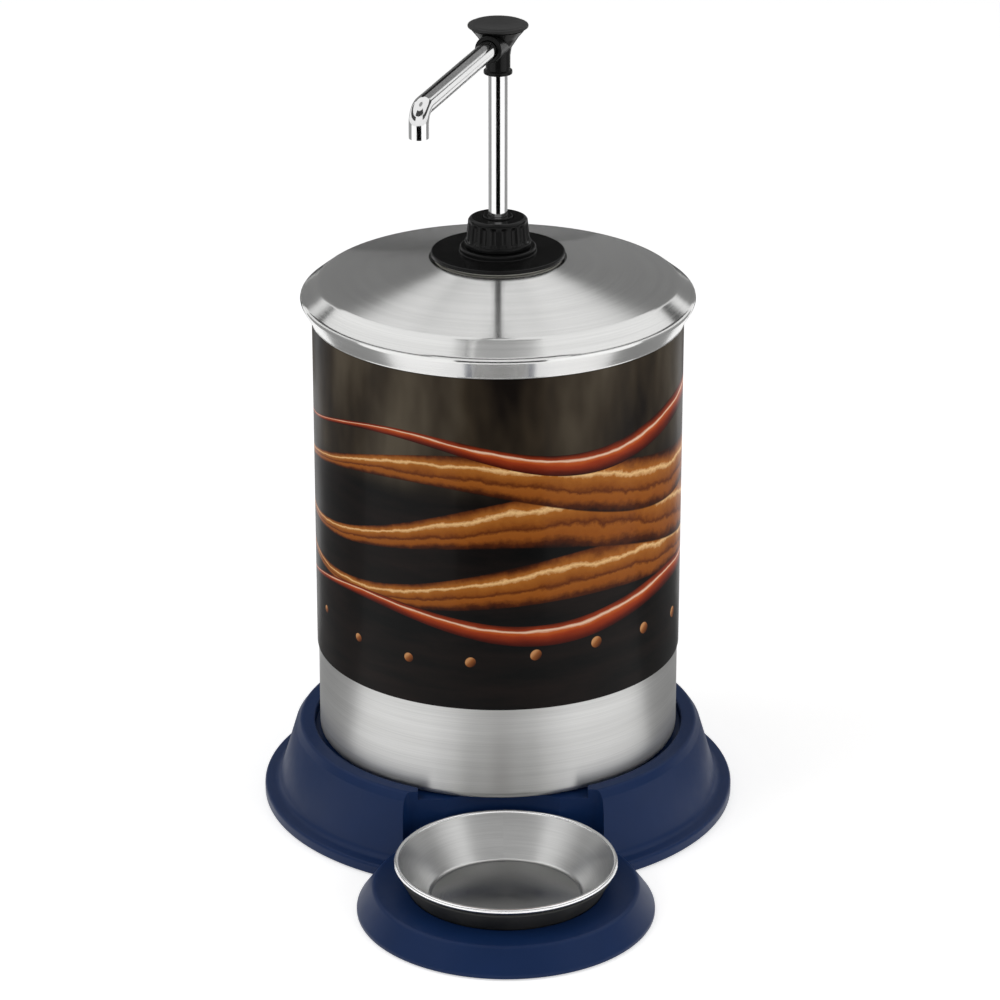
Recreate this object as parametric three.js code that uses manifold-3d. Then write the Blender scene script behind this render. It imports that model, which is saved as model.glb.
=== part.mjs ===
/**
 * Countertop syrup dispenser: a moulded base with a drip bowl on its front lobe, a lift-out steel jar in
 * a printed sleeve, a lift-off steel lid, and a spring-return pump with a swivelling spout.
 * Millimetres, +Z up. The origin is on the jar's axis, on the surface that the feet stand on, and the
 * drip bowl is on the -Y side.
 */
import * as THREE from 'three';
import { mergeVertices } from 'three/addons/utils/BufferGeometryUtils.js';
import Module from 'manifold-3d';

const wasm = await Module();
wasm.setup();

// Shared allowances
const clearance = 0.3;
const overrun = 2;
const weld = 0.0005;

// Jar and its printed sleeve
const jar = { radius: 90, height: 226.7, sheet: 1.2, cornerRound: 4, hemRadius: 1.3, hemDrop: 2.4 };
const sleeve = { thickness: 0.4, bottomAboveJarFoot: 48.5, gapToLid: 0.6 };

// Moulded base: plinth under the jar
const plinth = {
  seatHeight: 35, seatPlate: 3, jarGap: 2.6, rimRise: 4.5, rimWidth: 6.2, rimRound: 0.6,
  shoulderRound: 3.8, wallFlare: 6.3, wallFootHeight: 11.5, wallFillet: 4.4, wall: 3,
  flangeWidth: 9.7, flangeHeight: 7.2, flangeEdgeHeight: 6.2, flangeRound: 1.2, flangePlate: 2.8,
};
const shoulderDegrees = [8, 90];
const underside = { hubRadius: 13, ribThickness: 2.4, ribClear: 9, ribEnd: 4 };

// Moulded base: front lobe, its deck and the well that the drip bowl sits in
const lobe = { reach: 136, radius: 71.5, edgeHeight: 2.6, deckHeight: 13.6, bevel: 8.1, bevelRound: 2.2 };
const well = { floorHeight: 4.5, floorRadius: 38.2, mouthGap: 0.2, jacket: 2.8 };
const pocket = { halfWidth: 49, jarOverhang: 2, cornerRound: 5, bowlGap: 2, rimNotchHalfWidth: 41.5 };

// Rubber feet
const foot = { radius: 7.5, drop: 0.8, socketDepth: 1.8, bossWall: 2, bossHeight: 9, inset: 12.6 };
const ringFootAngles = [28, 152, 207, 333];
const lobeFootAngles = [235, 305];

// Drip bowl and the rubber skirt round it
const bowl = {
  floorRadius: 37, floorAboveWell: 2.5, height: 19, mouthRadius: 51, sheet: 1, beadRadius: 1.25,
  floorRound: 3,
};
const skirt = {
  kneeRadius: 47.2, kneeAboveDeck: 0.4, footRadius: 38.4, topRadius: 52.5, topBelowRim: 2.2, lipInner: 30,
};

// Lid and the seal ring under its shoulder
const lid = {
  sheet: 0.9, edgeGap: 0.4, overlap: 7.7, skirtRise: 10.7, skirtFlare: 5.6, skirtRound: 2.6,
  shoulderRise: 7.5, shoulderDraw: 9.6, creaseRound: 6, coneRise: 11.5, landMargin: 0.8, holeGap: 0.4,
};
const lidSeal = { lipThickness: 1.5, lipDepth: 5, landWidth: 4.6 };

// Pump body, from the flange on the lid to the foot of the dip tube
const gasket = { thickness: 0.7, margin: 1.7 };
const flange = {
  radius: 32.7, thickness: 1.9, edgeRound: 0.8, stepRadius: 18.6, stepRise: 2.6, stepRound: 0.7,
  neckRise: 5, neckDrop: 12.6, neckWall: 1.5, spigotWall: 2.3,
};
const cylinder = { boreRadius: 9.2, wall: 1.4, length: 112, lipThickness: 1.5 };
const nut = { flats: 36, height: 6.3 };
const bush = { flangeThickness: 3, neckLength: 6.6, bossWall: 2.3, bossRise: 0.8 };
const bushSeal = { thickness: 1.6, height: 1.7, below: 2.2 };
const collar = {
  baseRadius: 16.2, baseHeight: 2.4, bodyRadius: 15.5, topRadius: 14.4, topPlate: 4, topRound: 2,
  fluteDepth: 0.9, fluteRadius: 1.5, fluteBelowTop: 1.6,
};
const fluteCount = 18;

// Moving column: piston, stem, ball and spring
const stem = { radius: 4.6, wall: 1.7, socketDepth: 4.4, exposed: 71.5 };
const piston = {
  gap: 0.6, length: 14, portRadius: 1.9, grooveHeight: 3.6, grooveDepth: 1.9, grooveAbove: 2.4,
};
const dischargeBall = { radius: 3.2, lift: 1.2, chamberGap: 0.5 };
const spring = { wireRadius: 0.7, gap: 0.9, endPitch: 2.1 };
const springTurns = 10;
const springEndTurns = 1;

// Foot valve and dip tube
const valve = { flangeThickness: 3.4, portRadius: 2.4, barbRadius: 3.9, barbLength: 14 };
const inletBall = { radius: 3.5, lift: 2, chamberGap: 0.9 };
const cage = { thickness: 1.3, holeRadius: 2.9 };
const dipTube = { wall: 1.1, floorGap: 6 };

// Discharge head, knob and spout
const head = {
  footRadius: 6.9, footHeight: 1.8, bodyRadius: 5.9, bodyHeight: 9, neckRadius: 6.5, socketDepth: 8.4,
  flareRadius: 13.2, spoutHeight: 15.5, bossRadius: 6.6, bossReach: 16, boreRadius: 2.5, capHeight: 22.2,
};
const knob = { radius: 14.5, rimHeight: 1.7, domeRise: 2, spigotRadius: 3.4, spigotLength: 3.5 };
const knobRimDegrees = [-50, 60];
const spout = { radius: 4.6, wall: 0.9, reach: 119, bendRadius: 7, tipLength: 6.2, seat: 6 };
const spoutDegrees = 19;
const spoutSeal = { height: 1.5, thickness: 0.5, fromMouth: 2.5 };

// Facets round each form, and steps along the curved ones
const sides = {
  large: 48, lobe: 44, bowl: 40, medium: 32, small: 20, tube: 12, rings: 8, nut: 6, flute: 6, wire: 5,
};
const stepsPerTurn = 8;
const bendSteps = 10;
const beadSteps = 6;

// Heights that follow from the sizes above
const jarFoot = plinth.seatHeight + clearance;
const jarTop = jarFoot + jar.height;
const lidEdge = jarTop - lid.overlap;
const lidWaist = lidEdge + lid.skirtRise;
const lidCrease = lidWaist + lid.shoulderRise;
const lidLand = lidCrease + lid.coneRise;
const lidEdgeRadius = jar.radius + lid.edgeGap + lid.sheet;
const lidWaistRadius = lidEdgeRadius + lid.skirtFlare;
const lidCreaseRadius = lidWaistRadius - lid.shoulderDraw;
const lidLandRadius = flange.radius + lid.landMargin;
const flangeFoot = lidLand + clearance + gasket.thickness + clearance;
const flangeTop = flangeFoot + flange.thickness;
const stepTop = flangeTop + flange.stepRise;
const cylinderRadius = cylinder.boreRadius + cylinder.wall;
const flangeBore = cylinderRadius + clearance;
const neckRadius = flangeBore + flange.neckWall;
const spigotRadius = flangeBore + flange.spigotWall;
const neckTop = stepTop + flange.neckRise;
const lipFoot = neckTop + clearance;
const lipTop = lipFoot + cylinder.lipThickness;
const cylinderFoot = lipTop - cylinder.length;
const bushFlangeFoot = lipTop + clearance;
const bushFlangeTop = bushFlangeFoot + bush.flangeThickness;
const collarFoot = stepTop + clearance;
const collarCeiling = bushFlangeTop + clearance;
const collarTop = collarCeiling + collar.topPlate;
const collarBore = neckRadius + clearance;
const bushBore = stem.radius + clearance;
const bushFoot = bushFlangeFoot - bush.neckLength;
const bushTop = collarTop + bush.bossRise;
const headFoot = collarTop + stem.exposed;
const pistonTop = bushFoot - clearance;
const pistonFoot = pistonTop - piston.length;
const stemFoot = pistonTop - stem.socketDepth + clearance;
const stemTop = headFoot + head.socketDepth - clearance;
const spoutAxis = headFoot + head.spoutHeight;
const headTop = headFoot + head.capHeight;
const valveSeat = cylinderFoot + clearance;
const inletBallCentre = ballSeat(valve.portRadius, valveSeat, inletBall);
const cageFoot = inletBallCentre + inletBall.lift + ballStop(inletBall, cage.holeRadius);
const valveTop = cageFoot + cage.thickness;
const valveFlangeTop = cylinderFoot - clearance;
const valveFlangeFoot = valveFlangeTop - valve.flangeThickness;
const barbFoot = valveFlangeFoot - valve.barbLength;
const dipFoot = jarFoot + jar.sheet + dipTube.floorGap;
const dischargeBallCentre = stemFoot - dischargeBall.lift - ballStop(dischargeBall, stem.radius - stem.wall);
const pistonSeat = dischargeBallCentre - ballSeat(piston.portRadius, 0, dischargeBall);
const bowlFloor = well.floorHeight + bowl.floorAboveWell;

// Radii of the base that follow the jar, from the seat outwards
const seatRadius = jar.radius + plinth.jarGap;
const rimHeight = plinth.seatHeight + plinth.rimRise;
const rimRadius = seatRadius + plinth.rimWidth;
const shoulderRadius = rimRadius + plinth.shoulderRound;
const wallFootRadius = shoulderRadius + plinth.wallFlare;
const flangeRadius = wallFootRadius + plinth.flangeWidth;
const pocketBack = jar.radius - pocket.jarOverhang;
const bowlRadius = bowl.mouthRadius + 2 * bowl.beadRadius;
const biteRadius = bowlRadius + pocket.bowlGap;

// Finishes
const finishes = {
  basePlastic: new THREE.MeshStandardMaterial({ color: 0x1d2a52, roughness: 0.5, metalness: 0 }),
  rubber: new THREE.MeshStandardMaterial({ color: 0x141414, roughness: 0.85, metalness: 0 }),
  brushedSteel: new THREE.MeshStandardMaterial({ color: 0xc4c4c2, roughness: 0.34, metalness: 1 }),
  polishedSteel: new THREE.MeshStandardMaterial({ color: 0xd8d8d8, roughness: 0.12, metalness: 1 }),
  print: new THREE.MeshStandardMaterial({ color: 0x221d1a, roughness: 0.3, metalness: 0 }),
  blackPlastic: new THREE.MeshStandardMaterial({ color: 0x0c0c0c, roughness: 0.28, metalness: 0 }),
  paleSeal: new THREE.MeshStandardMaterial({ color: 0xd9d6cd, roughness: 0.6, metalness: 0 }),
  pumpPlastic: new THREE.MeshStandardMaterial({ color: 0xe6e4de, roughness: 0.45, metalness: 0 }),
};

/** A point of a profile: distance from the axis, and height. */
const at = (radius, height) => new THREE.Vector2(radius, height);

/** Points along an arc of a profile, from one angle to another, both ends included. */
function arc(centre, radius, fromDegrees, toDegrees, steps) {
  return Array.from({ length: steps + 1 }, (_, i) => {
    const turn = THREE.MathUtils.degToRad(THREE.MathUtils.lerp(fromDegrees, toDegrees, i / steps));
    return at(centre.x + radius * Math.cos(turn), centre.y + radius * Math.sin(turn));
  });
}

/** The arc that rounds the corner at apex, between the points before and after it. */
function rounded(before, apex, after, radius, steps = 3) {
  const inward = before.clone().sub(apex).normalize();
  const outward = after.clone().sub(apex).normalize();
  const half = Math.acos(THREE.MathUtils.clamp(inward.dot(outward), -1, 1)) / 2;
  const tangent = radius / Math.tan(half);
  const start = apex.clone().addScaledVector(inward, tangent);
  const end = apex.clone().addScaledVector(outward, tangent);
  const centre = apex.clone().addScaledVector(inward.add(outward).normalize(), radius / Math.sin(half));
  const from = start.clone().sub(centre);
  const to = end.clone().sub(centre);
  const sweep = Math.atan2(from.x * to.y - from.y * to.x, from.dot(to));
  return Array.from({ length: steps + 1 }, (_, i) =>
    from.clone().rotateAround(at(0, 0), (sweep * i) / steps).add(centre));
}

/** The same open line, moved sideways by distance: to the right of its direction of travel. */
function offset(line, distance) {
  const normals = line.slice(1).map((point, i) => {
    const along = point.clone().sub(line[i]).normalize();
    return at(along.y, -along.x);
  });
  return line.map((point, i) => {
    const before = normals[Math.max(i - 1, 0)];
    const after = normals[Math.min(i, normals.length - 1)];
    const middle = before.clone().add(after).normalize();
    return point.clone().addScaledVector(middle, distance / middle.dot(after));
  });
}

/** Closes a profile that doesn't reach the axis at both ends. */
const ring = (points) => [...points, points[0].clone()];

/** A solid of revolution about Z. */
function revolve(points, segments) {
  return tidy(new THREE.LatheGeometry(points, segments).rotateX(Math.PI / 2));
}

/** A plain closed ring of rectangular section. */
function washer(inner, outer, low, high, segments) {
  return revolve(ring([at(inner, low), at(outer, low), at(outer, high), at(inner, high)]), segments);
}

/** A plain round post. */
function post(radius, low, high, segments) {
  return revolve([at(0, low), at(radius, low), at(radius, high), at(0, high)], segments);
}

/** Welds a geometry's shared vertices, drops empty triangles and turns its faces outwards. */
function tidy(geometry) {
  const bare = geometry.clone();
  bare.deleteAttribute('normal');
  bare.deleteAttribute('uv');
  const welded = mergeVertices(bare, weld);
  const source = welded.getIndex().array;
  const triangles = [];
  for (let i = 0; i < source.length; i += 3) {
    const [a, b, c] = [source[i], source[i + 1], source[i + 2]];
    if (a !== b && b !== c && c !== a) triangles.push(a, b, c);
  }
  welded.setIndex(triangles);
  return volumeOf(welded) < 0 ? reversed(welded) : welded;
}

/** Signed volume inside a closed geometry. */
function volumeOf(geometry) {
  const place = geometry.getAttribute('position');
  const index = geometry.getIndex();
  const [a, b, c] = [new THREE.Vector3(), new THREE.Vector3(), new THREE.Vector3()];
  let six = 0;
  for (let i = 0; i < index.count; i += 3) {
    a.fromBufferAttribute(place, index.getX(i));
    b.fromBufferAttribute(place, index.getX(i + 1));
    c.fromBufferAttribute(place, index.getX(i + 2));
    six += a.dot(b.cross(c));
  }
  return six / 6;
}

/** The same geometry with every triangle turned over. */
function reversed(geometry) {
  const turned = Array.from(geometry.getIndex().array);
  for (let i = 0; i < turned.length; i += 3) [turned[i + 1], turned[i + 2]] = [turned[i + 2], turned[i + 1]];
  geometry.setIndex(turned);
  return geometry;
}

/** A solid that can be joined and cut. */
function solidOf(geometry) {
  const welded = tidy(geometry);
  return new wasm.Manifold(new wasm.Mesh({
    numProp: 3,
    vertProperties: new Float32Array(welded.getAttribute('position').array),
    triVerts: new Uint32Array(welded.getIndex().array),
  }));
}

/** The geometry of a joined and cut solid. */
function geometryOf(solid) {
  const mesh = solid.getMesh();
  const geometry = new THREE.BufferGeometry();
  geometry.setAttribute('position', new THREE.BufferAttribute(new Float32Array(mesh.vertProperties), 3));
  geometry.setIndex(Array.from(mesh.triVerts));
  return geometry;
}

/** One named piece with its own finish. */
function piece(name, geometry, finish) {
  const flat = geometry.toNonIndexed();
  flat.computeVertexNormals();
  const mesh = new THREE.Mesh(flat, finish.clone());
  mesh.name = name;
  return mesh;
}

/** Place at an angle round the Z axis through the point (0, y). */
function polar(radius, degrees, y = 0) {
  const turn = THREE.MathUtils.degToRad(degrees);
  return [radius * Math.cos(turn), y + radius * Math.sin(turn)];
}

/** Every foot's name and place: one under the hub, four under the flange and two under the lobe. */
function footPlaces() {
  const ringNames = ['foot_back_right', 'foot_back_left', 'foot_front_left', 'foot_front_right'];
  const lobeNames = ['foot_lobe_left', 'foot_lobe_right'];
  return [
    ['foot_centre', [0, 0]],
    ...ringNames.map((name, i) => [name, polar(flangeRadius - foot.inset, ringFootAngles[i])]),
    ...lobeNames.map((name, i) => [name, polar(lobe.radius - foot.inset, lobeFootAngles[i], -lobe.reach)]),
  ];
}

/** Outside of the plinth, solid: flange, flared wall, rounded shoulder and the sunk seat of the jar. */
function plinthBlock() {
  const edge = at(flangeRadius, plinth.flangeEdgeHeight);
  const fillet = at(wallFootRadius + plinth.wallFillet / 2, plinth.flangeHeight);
  const wallTop = at(shoulderRadius, rimHeight - plinth.shoulderRound);
  const rim = at(rimRadius, rimHeight);
  const lip = at(seatRadius, rimHeight);
  const seat = at(seatRadius, plinth.seatHeight);
  return revolve([
    at(0, foot.drop), at(flangeRadius, foot.drop),
    ...rounded(at(flangeRadius, foot.drop), edge, fillet, plinth.flangeRound, 2),
    ...rounded(edge, fillet, wallTop, plinth.wallFillet, 3),
    ...arc(at(rim.x, wallTop.y), plinth.shoulderRound, ...shoulderDegrees, 3),
    ...rounded(rim, lip, seat, plinth.rimRound, 1),
    seat, at(0, plinth.seatHeight),
  ], sides.large);
}

/** Outside of the lobe, solid: a round deck with a bevelled side. */
function lobeBlock() {
  const low = at(lobe.radius, foot.drop);
  const edge = at(lobe.radius, lobe.edgeHeight);
  const deck = at(lobe.radius - lobe.bevel, lobe.deckHeight);
  const centre = at(0, lobe.deckHeight);
  return revolve([
    at(0, foot.drop), low, ...rounded(low, edge, deck, lobe.bevelRound, 2),
    ...rounded(edge, deck, centre, lobe.bevelRound, 2), centre,
  ], sides.lobe).translate(0, -lobe.reach, 0);
}

/** The bowl's round bite and the square pocket in front of the jar, both standing on the deck. */
function pocketCut(grow) {
  const half = pocket.halfWidth + grow;
  const back = -pocketBack + grow;
  const front = -flangeRadius - overrun;
  const round = pocket.cornerRound + grow;
  const outline = new THREE.Shape();
  outline.moveTo(-half, front);
  outline.lineTo(half, front);
  outline.lineTo(half, back - round);
  outline.absarc(half - round, back - round, round, 0, Math.PI / 2, false);
  outline.lineTo(-half + round, back);
  outline.absarc(-half + round, back - round, round, Math.PI / 2, Math.PI, false);
  outline.closePath();
  const floor = lobe.deckHeight - grow;
  const depth = rimHeight + overrun - floor;
  const box = new THREE.ExtrudeGeometry(outline, { depth, bevelEnabled: false, curveSegments: 4 });
  const bite = post(biteRadius + grow, floor, rimHeight + overrun, sides.lobe).translate(0, -lobe.reach, 0);
  return solidOf(box.translate(0, 0, floor)).add(solidOf(bite));
}

/** The cone that the bowl's skirt sits in, grown outwards for the wall round it. */
function wellCut(grow) {
  const rise = lobe.deckHeight - well.floorHeight + overrun;
  const floorRadius = well.floorRadius + grow;
  const low = grow > 0 ? -overrun : well.floorHeight;
  return solidOf(revolve([
    at(0, low), at(floorRadius, low), at(floorRadius, well.floorHeight),
    at(floorRadius + rise + well.mouthGap, well.floorHeight + rise), at(0, well.floorHeight + rise),
  ], sides.bowl).translate(0, -lobe.reach, 0));
}

/** What is hollow under the plinth and the lobe, before anything is put back. */
function hollowCut() {
  const ceiling = plinth.seatHeight - plinth.seatPlate;
  const inset = plinth.wall;
  const flangeUnder = plinth.flangeHeight - plinth.flangePlate;
  const plinthHollow = revolve([
    at(0, -overrun), at(flangeRadius - inset, -overrun), at(flangeRadius - inset, flangeUnder),
    at(wallFootRadius, flangeUnder),
    at(wallFootRadius - inset, plinth.wallFootHeight), at(shoulderRadius - inset, ceiling), at(0, ceiling),
  ], sides.medium);
  const deckUnder = lobe.deckHeight - inset;
  const lobeHollow = revolve([
    at(0, -overrun), at(lobe.radius - inset, -overrun), at(lobe.radius - inset, lobe.edgeHeight),
    at(lobe.radius - lobe.bevel - inset / 2, deckUnder), at(0, deckUnder),
  ], sides.medium).translate(0, -lobe.reach, 0);
  return solidOf(plinthHollow).add(solidOf(lobeHollow));
}

/** Hub, cross ribs and foot bosses that stand in the hollow. */
function undersideFrame() {
  const ceiling = plinth.seatHeight - plinth.seatPlate + overrun;
  const span = 2 * (shoulderRadius - underside.ribEnd);
  const ribHeight = ceiling - underside.ribClear;
  const ribs = [[span, underside.ribThickness], [underside.ribThickness, span]].map(([x, y]) =>
    solidOf(new THREE.BoxGeometry(x, y, ribHeight).translate(0, 0, underside.ribClear + ribHeight / 2)));
  const hub = solidOf(post(underside.hubRadius, -overrun, ceiling, sides.small));
  const bosses = footPlaces().slice(1).map(([, [x, y]]) =>
    solidOf(post(foot.radius + foot.bossWall, -overrun, foot.bossHeight, sides.tube).translate(x, y, 0)));
  return [...ribs, ...bosses].reduce((frame, part) => frame.add(part), hub);
}

/** The moulded base in one piece. */
function baseShell() {
  const socket = post(foot.radius + clearance, -overrun, foot.drop + foot.socketDepth, sides.tube);
  const sockets = footPlaces().map(([, [x, y]]) => solidOf(socket.clone().translate(x, y, 0)));
  const notchHeight = rimHeight + overrun - plinth.seatHeight;
  const notch = new THREE.BoxGeometry(2 * pocket.rimNotchHalfWidth, flangeRadius, notchHeight);
  notch.translate(0, -flangeRadius / 2 - seatRadius / 2, plinth.seatHeight + notchHeight / 2);
  const hollow = hollowCut()
    .subtract(pocketCut(plinth.wall))
    .subtract(wellCut(well.jacket))
    .subtract(undersideFrame());
  const cuts = [pocketCut(0), wellCut(0), solidOf(notch), hollow, ...sockets];
  const block = solidOf(plinthBlock()).add(solidOf(lobeBlock()));
  const shell = cuts.reduce((rest, cut) => rest.subtract(cut), block);
  return piece('base_shell', geometryOf(shell), finishes.basePlastic);
}

/** Rubber feet, each pushed into its socket. */
function feet() {
  return footPlaces().map(([name, [x, y]]) => {
    const pad = post(foot.radius, 0, foot.drop + foot.socketDepth - clearance, sides.tube);
    return piece(name, pad.translate(x, y, 0), finishes.rubber);
  });
}

/** The bowl's inside from the middle of its floor to its mouth. */
function bowlInside() {
  const corner = at(bowl.floorRadius, bowlFloor);
  const mouth = at(bowl.mouthRadius, bowlFloor + bowl.height);
  return [at(0, bowlFloor), ...rounded(at(0, bowlFloor), corner, mouth, bowl.floorRound, 2), mouth];
}

/** Steel drip bowl: a thin dish with a rolled rim. */
function dripBowl() {
  const inside = bowlInside();
  const outside = offset(inside, bowl.sheet);
  const [low, mouth] = [inside.at(-2), inside.at(-1)];
  const beadCentre = at(mouth.x + bowl.beadRadius, mouth.y);
  const lean = Math.atan2(mouth.y - low.y, mouth.x - low.x);
  const offCentre = Math.asin((bowl.beadRadius * Math.sin(lean) - bowl.sheet) / bowl.beadRadius);
  const start = THREE.MathUtils.radToDeg(lean - offCentre - Math.PI);
  const bead = arc(beadCentre, bowl.beadRadius, start, THREE.MathUtils.radToDeg(Math.PI), beadSteps);
  const profile = [...outside.slice(0, -1), ...bead, ...inside.slice(0, -1).reverse()];
  return piece('drip_bowl', revolve(profile, sides.bowl).translate(0, -lobe.reach, 0), finishes.brushedSteel);
}

/** Rubber skirt that grips the bowl and sits in the well. */
function bowlSkirt() {
  const grip = offset(bowlInside(), bowl.sheet + clearance).slice(1);
  const top = bowlFloor + bowl.height - skirt.topBelowRim;
  const [low, high] = [grip.at(-2), grip.at(-1)];
  const gripTop = low.clone().lerp(high, (top - low.y) / (high.y - low.y));
  const footHeight = well.floorHeight + clearance;
  const knee = at(skirt.kneeRadius, lobe.deckHeight + skirt.kneeAboveDeck);
  const profile = ring([
    at(skirt.lipInner, footHeight), at(skirt.footRadius, footHeight), knee, at(skirt.topRadius, top),
    gripTop, ...grip.slice(0, -1).reverse(), at(skirt.lipInner, grip[0].y),
  ]);
  return piece('bowl_skirt', revolve(profile, sides.bowl).translate(0, -lobe.reach, 0), finishes.rubber);
}

/** Steel jar with a rounded foot and a hemmed mouth. */
function jarBody() {
  const floor = at(0, jarFoot);
  const corner = at(jar.radius, jarFoot);
  const shoulder = at(jar.radius, jarTop - jar.hemRadius);
  const hemCentre = at(jar.radius - jar.hemRadius, shoulder.y);
  const insideRadius = jar.radius - jar.sheet;
  const inside = at(insideRadius, jarFoot + jar.sheet);
  const hemInner = hemCentre.x - jar.hemRadius;
  const insideRound = jar.cornerRound - jar.sheet;
  const profile = [
    floor,
    ...rounded(floor, corner, shoulder, jar.cornerRound, 3),
    ...arc(hemCentre, jar.hemRadius, 0, 180, 4),
    at(hemInner, shoulder.y - jar.hemDrop / 2), at(insideRadius, shoulder.y - jar.hemDrop),
    ...rounded(at(insideRadius, shoulder.y), inside, at(0, inside.y), insideRound, 2),
    at(0, inside.y),
  ];
  return piece('jar', revolve(profile, sides.large), finishes.brushedSteel);
}

/** Printed sleeve round the jar, open at both ends. */
function jarSleeve() {
  const inner = jar.radius + clearance;
  const low = jarFoot + sleeve.bottomAboveJarFoot;
  const wrap = washer(inner, inner + sleeve.thickness, low, lidEdge - sleeve.gapToLid, sides.large);
  return piece('jar_sleeve', wrap, finishes.print);
}

/** The lid's outside from its lower edge, over the shoulder and up the cone to the hole. */
function lidOutside() {
  const edge = at(lidEdgeRadius, lidEdge);
  const waist = at(lidWaistRadius, lidWaist);
  const crease = at(lidCreaseRadius, lidCrease);
  const land = at(lidLandRadius, lidLand);
  const hole = at(spigotRadius + lid.holeGap, lidLand);
  return [
    edge,
    ...rounded(edge, waist, crease, lid.skirtRound, 3),
    ...rounded(waist, crease, land, lid.creaseRound, 2),
    land, hole,
  ];
}

/** Steel lid, one sheet thick. */
function lidShell() {
  const outside = lidOutside();
  const inside = offset(outside, -lid.sheet).reverse();
  return piece('lid', revolve(ring([...outside, ...inside]), sides.large), finishes.brushedSteel);
}

/** Height under the lid's sheet at a radius on its shoulder or cone, less the usual clearance. */
function underLid(radius) {
  const onShoulder = radius > lidCreaseRadius;
  const [low, high] = onShoulder
    ? [at(lidWaistRadius, lidWaist), at(lidCreaseRadius, lidCrease)]
    : [at(lidCreaseRadius, lidCrease), at(lidLandRadius, lidLand)];
  const slope = (high.y - low.y) / (low.x - high.x);
  const along = Math.hypot(1, slope);
  return low.y + (low.x - radius) * slope - (lid.sheet + 2 * clearance) * along;
}

/** Seal ring that fills the shoulder, rests on the jar's mouth and centres the lid in it. */
function lidSealRing() {
  const lipOuter = jar.radius - 2 * jar.hemRadius - clearance;
  const lipInner = lipOuter - lidSeal.lipThickness;
  const landOuter = lipOuter + lidSeal.landWidth;
  const rest = jarTop + clearance;
  const profile = ring([
    at(lipInner, rest - lidSeal.lipDepth), at(lipOuter, rest - lidSeal.lipDepth), at(lipOuter, rest),
    at(landOuter, rest), at(landOuter, underLid(landOuter)), at(lipInner, underLid(lipInner)),
  ]);
  return piece('lid_seal', revolve(profile, sides.large), finishes.paleSeal);
}

/** Thin gasket between the lid and the pump's flange. */
function flangeGasket() {
  const low = lidLand + clearance;
  const inner = spigotRadius + clearance;
  const disc = washer(inner, flange.radius - gasket.margin, low, low + gasket.thickness, sides.medium);
  return piece('flange_gasket', disc, finishes.paleSeal);
}

/** Pump flange: a wide disc, a raised step, a neck for the collar and a spigot through the lid. */
function pumpFlange() {
  const discFoot = at(flange.radius, flangeFoot);
  const stepFoot = at(flange.stepRadius, flangeTop);
  const neckFoot = at(neckRadius, stepTop);
  const spigotFoot = flangeFoot - flange.neckDrop;
  const profile = ring([
    at(flangeBore, spigotFoot), at(spigotRadius, spigotFoot), at(spigotRadius, flangeFoot), discFoot,
    ...rounded(discFoot, at(flange.radius, flangeTop), stepFoot, flange.edgeRound, 2), stepFoot,
    ...rounded(stepFoot, at(flange.stepRadius, stepTop), neckFoot, flange.stepRound, 2), neckFoot,
    at(neckRadius, neckTop), at(flangeBore, neckTop),
  ]);
  return piece('pump_flange', revolve(profile, sides.medium), finishes.blackPlastic);
}

/** Six-sided nut that pulls the flange down from under the lid. */
function lockNut() {
  const reach = nut.flats / 2 / Math.cos(Math.PI / sides.nut);
  const top = lidLand - lid.sheet - clearance;
  const block = post(reach, top - nut.height, top, sides.nut);
  const hole = post(spigotRadius + clearance, top - nut.height - overrun, top + overrun, sides.small);
  return piece('lock_nut', geometryOf(solidOf(block).subtract(solidOf(hole))), finishes.blackPlastic);
}

/** Pump cylinder: a long tube that hangs from its lip on the flange's neck. */
function pumpCylinder() {
  const profile = ring([
    at(cylinder.boreRadius, cylinderFoot), at(cylinderRadius, cylinderFoot), at(cylinderRadius, lipFoot),
    at(neckRadius, lipFoot), at(neckRadius, lipTop), at(cylinder.boreRadius, lipTop),
  ]);
  return piece('pump_cylinder', revolve(profile, sides.small), finishes.pumpPlastic);
}

/** Guide bush: stops the piston, guides the stem and is clamped under the collar. */
function guideBush() {
  const neck = cylinder.boreRadius - clearance;
  const boss = bushBore + bush.bossWall;
  const sealTop = bushFlangeFoot - bushSeal.below + clearance;
  const sealFoot = sealTop - bushSeal.height - 2 * clearance;
  const groove = bushBore + bushSeal.thickness + clearance;
  const profile = ring([
    at(bushBore, bushFoot), at(neck, bushFoot), at(neck, bushFlangeFoot), at(neckRadius, bushFlangeFoot),
    at(neckRadius, bushFlangeTop), at(boss, bushFlangeTop), at(boss, bushTop), at(bushBore, bushTop),
    at(bushBore, sealTop), at(groove, sealTop), at(groove, sealFoot), at(bushBore, sealFoot),
  ]);
  return piece('guide_bush', revolve(profile, sides.small), finishes.blackPlastic);
}

/** Wiper ring in the bush's groove. */
function stemWiper() {
  const top = bushFlangeFoot - bushSeal.below;
  const ringShape = washer(bushBore, bushBore + bushSeal.thickness, top - bushSeal.height, top, sides.small);
  return piece('stem_wiper', ringShape, finishes.rubber);
}

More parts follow.
